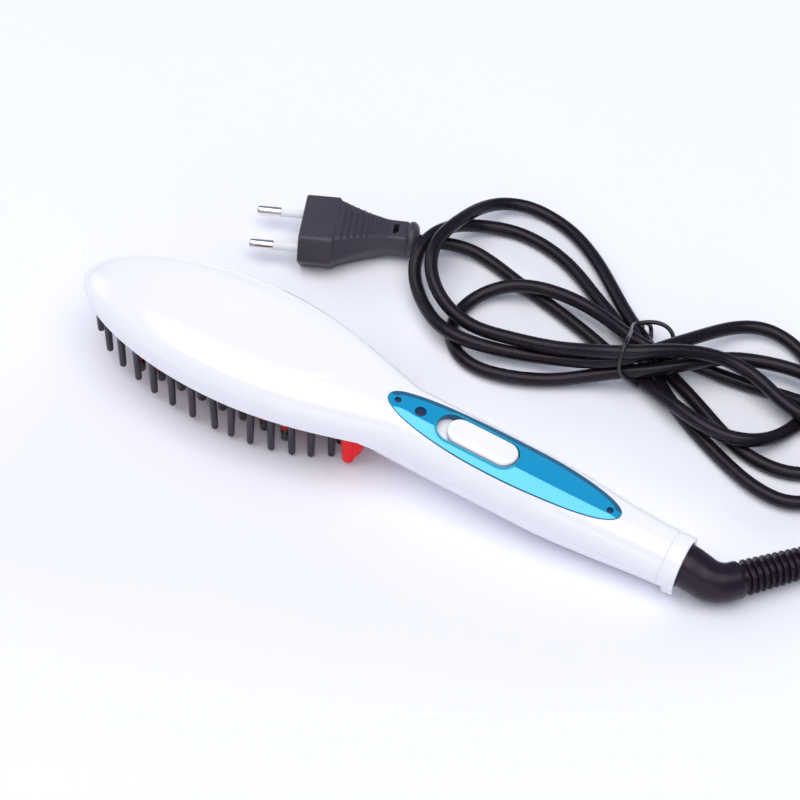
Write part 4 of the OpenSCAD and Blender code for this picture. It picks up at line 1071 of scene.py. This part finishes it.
def make_plug():
    """Moulded plug: hexagonal front, grip ribs on its upper face, neck, window and end ring."""
    rings = []
    ribbed, neck = np.arange(13.6, 35.2, 0.16), np.arange(36, 41, 1)
    for x in np.unique(np.concatenate([PLUG_SECTIONS[:, 0], ribbed, neck])):
        width, flat, height = (np.interp(x, PLUG_SECTIONS[:, 0], PLUG_SECTIONS[:, k]) for k in (1, 2, 3))
        ring = hexagon_ring(width, flat, height * PLUG_THICK, 1.1)
        crest = (COARSE_H * rib_height(x, COARSE_RIBS, COARSE_HALF)
            + FINE_H * rib_height(x, FINE_RIBS, FINE_HALF))
        on_top = smoothstep((flat / 2 + 0.3 - np.abs(ring[:, 0])) / 1.0)
        up = ring[:, 1] + crest * on_top * smoothstep((ring[:, 1] - 1) / 1.5)
        rings.append(np.column_stack([np.full(len(ring), x), ring[:, 0] + PLUG_SIDE, up]))
    plug = build("plug", [loft(rings)], from_plug, "plug", None)
    bulge = [(41.0, 4.2), (41.3, 5.4), (41.7, 6.3), (42.3, 6.9), (43.1, 7.2), (44.1, 7.1), (45.0, 6.5),
        (45.7, 5.4), (46.1, 3.6), (46.1, 2.6)]
    window = [[35.7, -2.0], [37.2, -2.0], [37.2, -1.2], [38.1, -1.2], [38.1, 3.2], [35.9, 3.2], [35.9, -1.2]]
    apply_boolean(plug, prism("window", window, 0.5, 12, from_plug))
    v, f = turned(bulge, 64)
    ring = outward(new_piece("plug_ring", from_plug(v[:, [2, 0, 1]] + [0, PLUG_SIDE, 0]), f, None, None))
    apply_boolean(plug, ring, "UNION")
    plug.data.shade_smooth()
    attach(plug, "brush")
    return stand_in(plug, 38, "plug_body")


def make_pins():
    """Bare pin ends with a turned edge, and the thinner sleeved half next to the plug."""
    pin = [(-PIN_LEN, 1.0), (-PIN_LEN + 0.12, 1.45), (-PIN_LEN + 0.5, 1.85), (-PIN_LEN + 1.0, 2.0),
        (-PIN_SLEEVE - 0.25, 2.0), (-PIN_SLEEVE, 1.9), (-PIN_SLEEVE, 1.5), (8, 1.5)]
    sleeve = [(-PIN_SLEEVE, 1.52), (-PIN_SLEEVE, 1.68), (-PIN_SLEEVE + 0.1, 1.76), (-0.6, 1.76), (-0.25, 2.0),
        (0.4, 2.0), (0.4, 1.52)]
    pieces = []
    for name, node, profile, look, slot in (("pins", "plug_pins", pin, "pin", "pin_chrome"),
            ("pin_covers", "pin_sleeves", sleeve, "sleeve", "sleeve_white")):
        parts = []
        for side in (-1, 1):
            v, f = turned(profile, 40)
            lean = side * PIN_LEAN
            along, across = v[:, 2], v[:, 0]
            x = along * math.cos(lean) - across * math.sin(lean)
            y = side * PIN_GAP / 2 + along * math.sin(lean) + across * math.cos(lean)
            parts.append((np.column_stack([x, y, v[:, 1]]), f))
        pieces.append(stand_in(build(name, parts, from_plug, look), 45, node))
    return pieces


TIE_R = 0.85
# The coated wire: one end in an arch, its twist, once round the waist of the bundle, and its other end
TIE_ROUTE = [(76.2, 95.2, 3.6), (75.2, 97.6, 6.8), (72.4, 98.8, 8.8), (68.4, 98.4, 9.8), (64.2, 96.4, 9.9),
    (61.4, 93.4, 10.4), (61.4, 89.6, 12.7), (63, 84.4, 16.4), (64.6, 78.4, 20.2), (65.8, 72.6, 22.5),
    (66.3, 68.4, 20.6), (66.3, 67.2, 15.4), (67.6, 67.5, 10.8), (70.6, 69.4, 7), (72.8, 71.2, 3.8),
    (73.2, 74.5, 1.6), (71.6, 82, 1.2), (69, 90, 1.2), (66.8, 97, 1.5), (65.2, 100, 3.9), (63.6, 98.2, 7.4),
    (62.4, 95, 9.2), (64.4, 93.6, 9.6)]


def make_tie():
    """The tie's round wire along its route."""
    line = even_line(smooth_line(TIE_ROUTE, 12), 0.8)
    rings = swept_rings(line, TIE_R, 12)
    tie = new_piece("cord_wire", rings.reshape(-1, 3), ring_faces(len(rings), 12), LOOKS["tie"])
    outward(tie)
    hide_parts("cord_tie")
    return tie


BOOT = make_boot()
PLUG = make_plug()
PINS = make_pins()
TIE = make_tie()

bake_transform(CORD)
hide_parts("cord_lead", "cord_hank", "cord_tail")

# Floor, light and background -------------------------------------------------------------
FLOOR_SIZE = 8.0
FLOOR_WHITE, FLOOR_SHADE = (0.9, 0.91, 0.98), (0.89, 0.9, 0.97)
COOL_LIGHT = (0.94, 0.95, 1.0)


def make_floor():
    """A wide pale table top with a trace of unevenness."""
    half = FLOOR_SIZE / 2
    mesh = bpy.data.meshes.new("floor")
    corners = [(-half, -half, 0), (half, -half, 0), (half, half, 0), (-half, half, 0)]
    mesh.from_pydata(corners, [], [(0, 1, 2, 3)])
    floor = bpy.data.objects.new("floor", mesh)
    SCENE.collection.objects.link(floor)
    shade = Shade("floor_white", FLOOR_WHITE, 0.55)
    shade.vary_colour(shade.noise(4, 2), FLOOR_WHITE, FLOOR_SHADE)
    shade.bump(shade.noise(500, 3), 0.01, 0.3)
    mesh.materials.append(shade.material)


def soft_box(name, at, aim, size, power, colour, in_gloss=True):
    """A rectangular studio light; its power is in watts, and gloss may leave it out."""
    data = bpy.data.lights.new(name, "AREA")
    data.shape = "RECTANGLE"
    data.size, data.size_y = size
    data.energy = power
    data.color = colour
    light = bpy.data.objects.new(name, data)
    light.location = at
    light.visible_glossy = in_gloss
    light.rotation_euler = (Vector(aim) - Vector(at)).to_track_quat("-Z", "Y").to_euler()
    SCENE.collection.objects.link(light)


def make_world(near, far, colour):
    """A pale surround, whose strength goes from near to far along the table."""
    world = bpy.data.worlds.new("studio")
    world.use_nodes = True
    tree = world.node_tree
    background = tree.nodes["Background"]
    background.inputs["Color"].default_value = (*colour, 1)
    direction = add_node(tree, "TexCoord").outputs["Generated"]
    split = add_node(tree, "SeparateXYZ")
    tree.links.new(direction, split.inputs["Vector"])
    fade = add_node(tree, "MapRange", From_Min=-0.3, From_Max=0.5, To_Min=near, To_Max=far)
    tree.links.new(split.outputs["Y"], fade.inputs["Value"])
    tree.links.new(fade.outputs["Result"], background.inputs["Strength"])
    SCENE.world = world


make_floor()
soft_box("overhead", (0, -0.5, 2), aim=(0, -0.5, 0), size=(3, 2.2), power=48.5, colour=(1.0, 0.98, 0.92))
soft_box("front_fill", (0.8, -1.9, 0.6), aim=(0, 0, 0), size=(2, 0.8), power=6.5, colour=COOL_LIGHT)
soft_box("left_fill", (-1.7, 0.2, 0.7), aim=(0, 0, 0), size=(1.2, 0.8), power=4, colour=COOL_LIGHT)
soft_box("far_fill", (0.4, 1.9, 0.6), aim=(0, 0, 0), size=(2, 0.6), power=17, colour=(0.95, 0.97, 1.0),
    in_gloss=False)
make_world(near=0.335, far=0.31, colour=(0.61, 0.67, 1.0))
SCENE.view_settings.view_transform = "Standard"
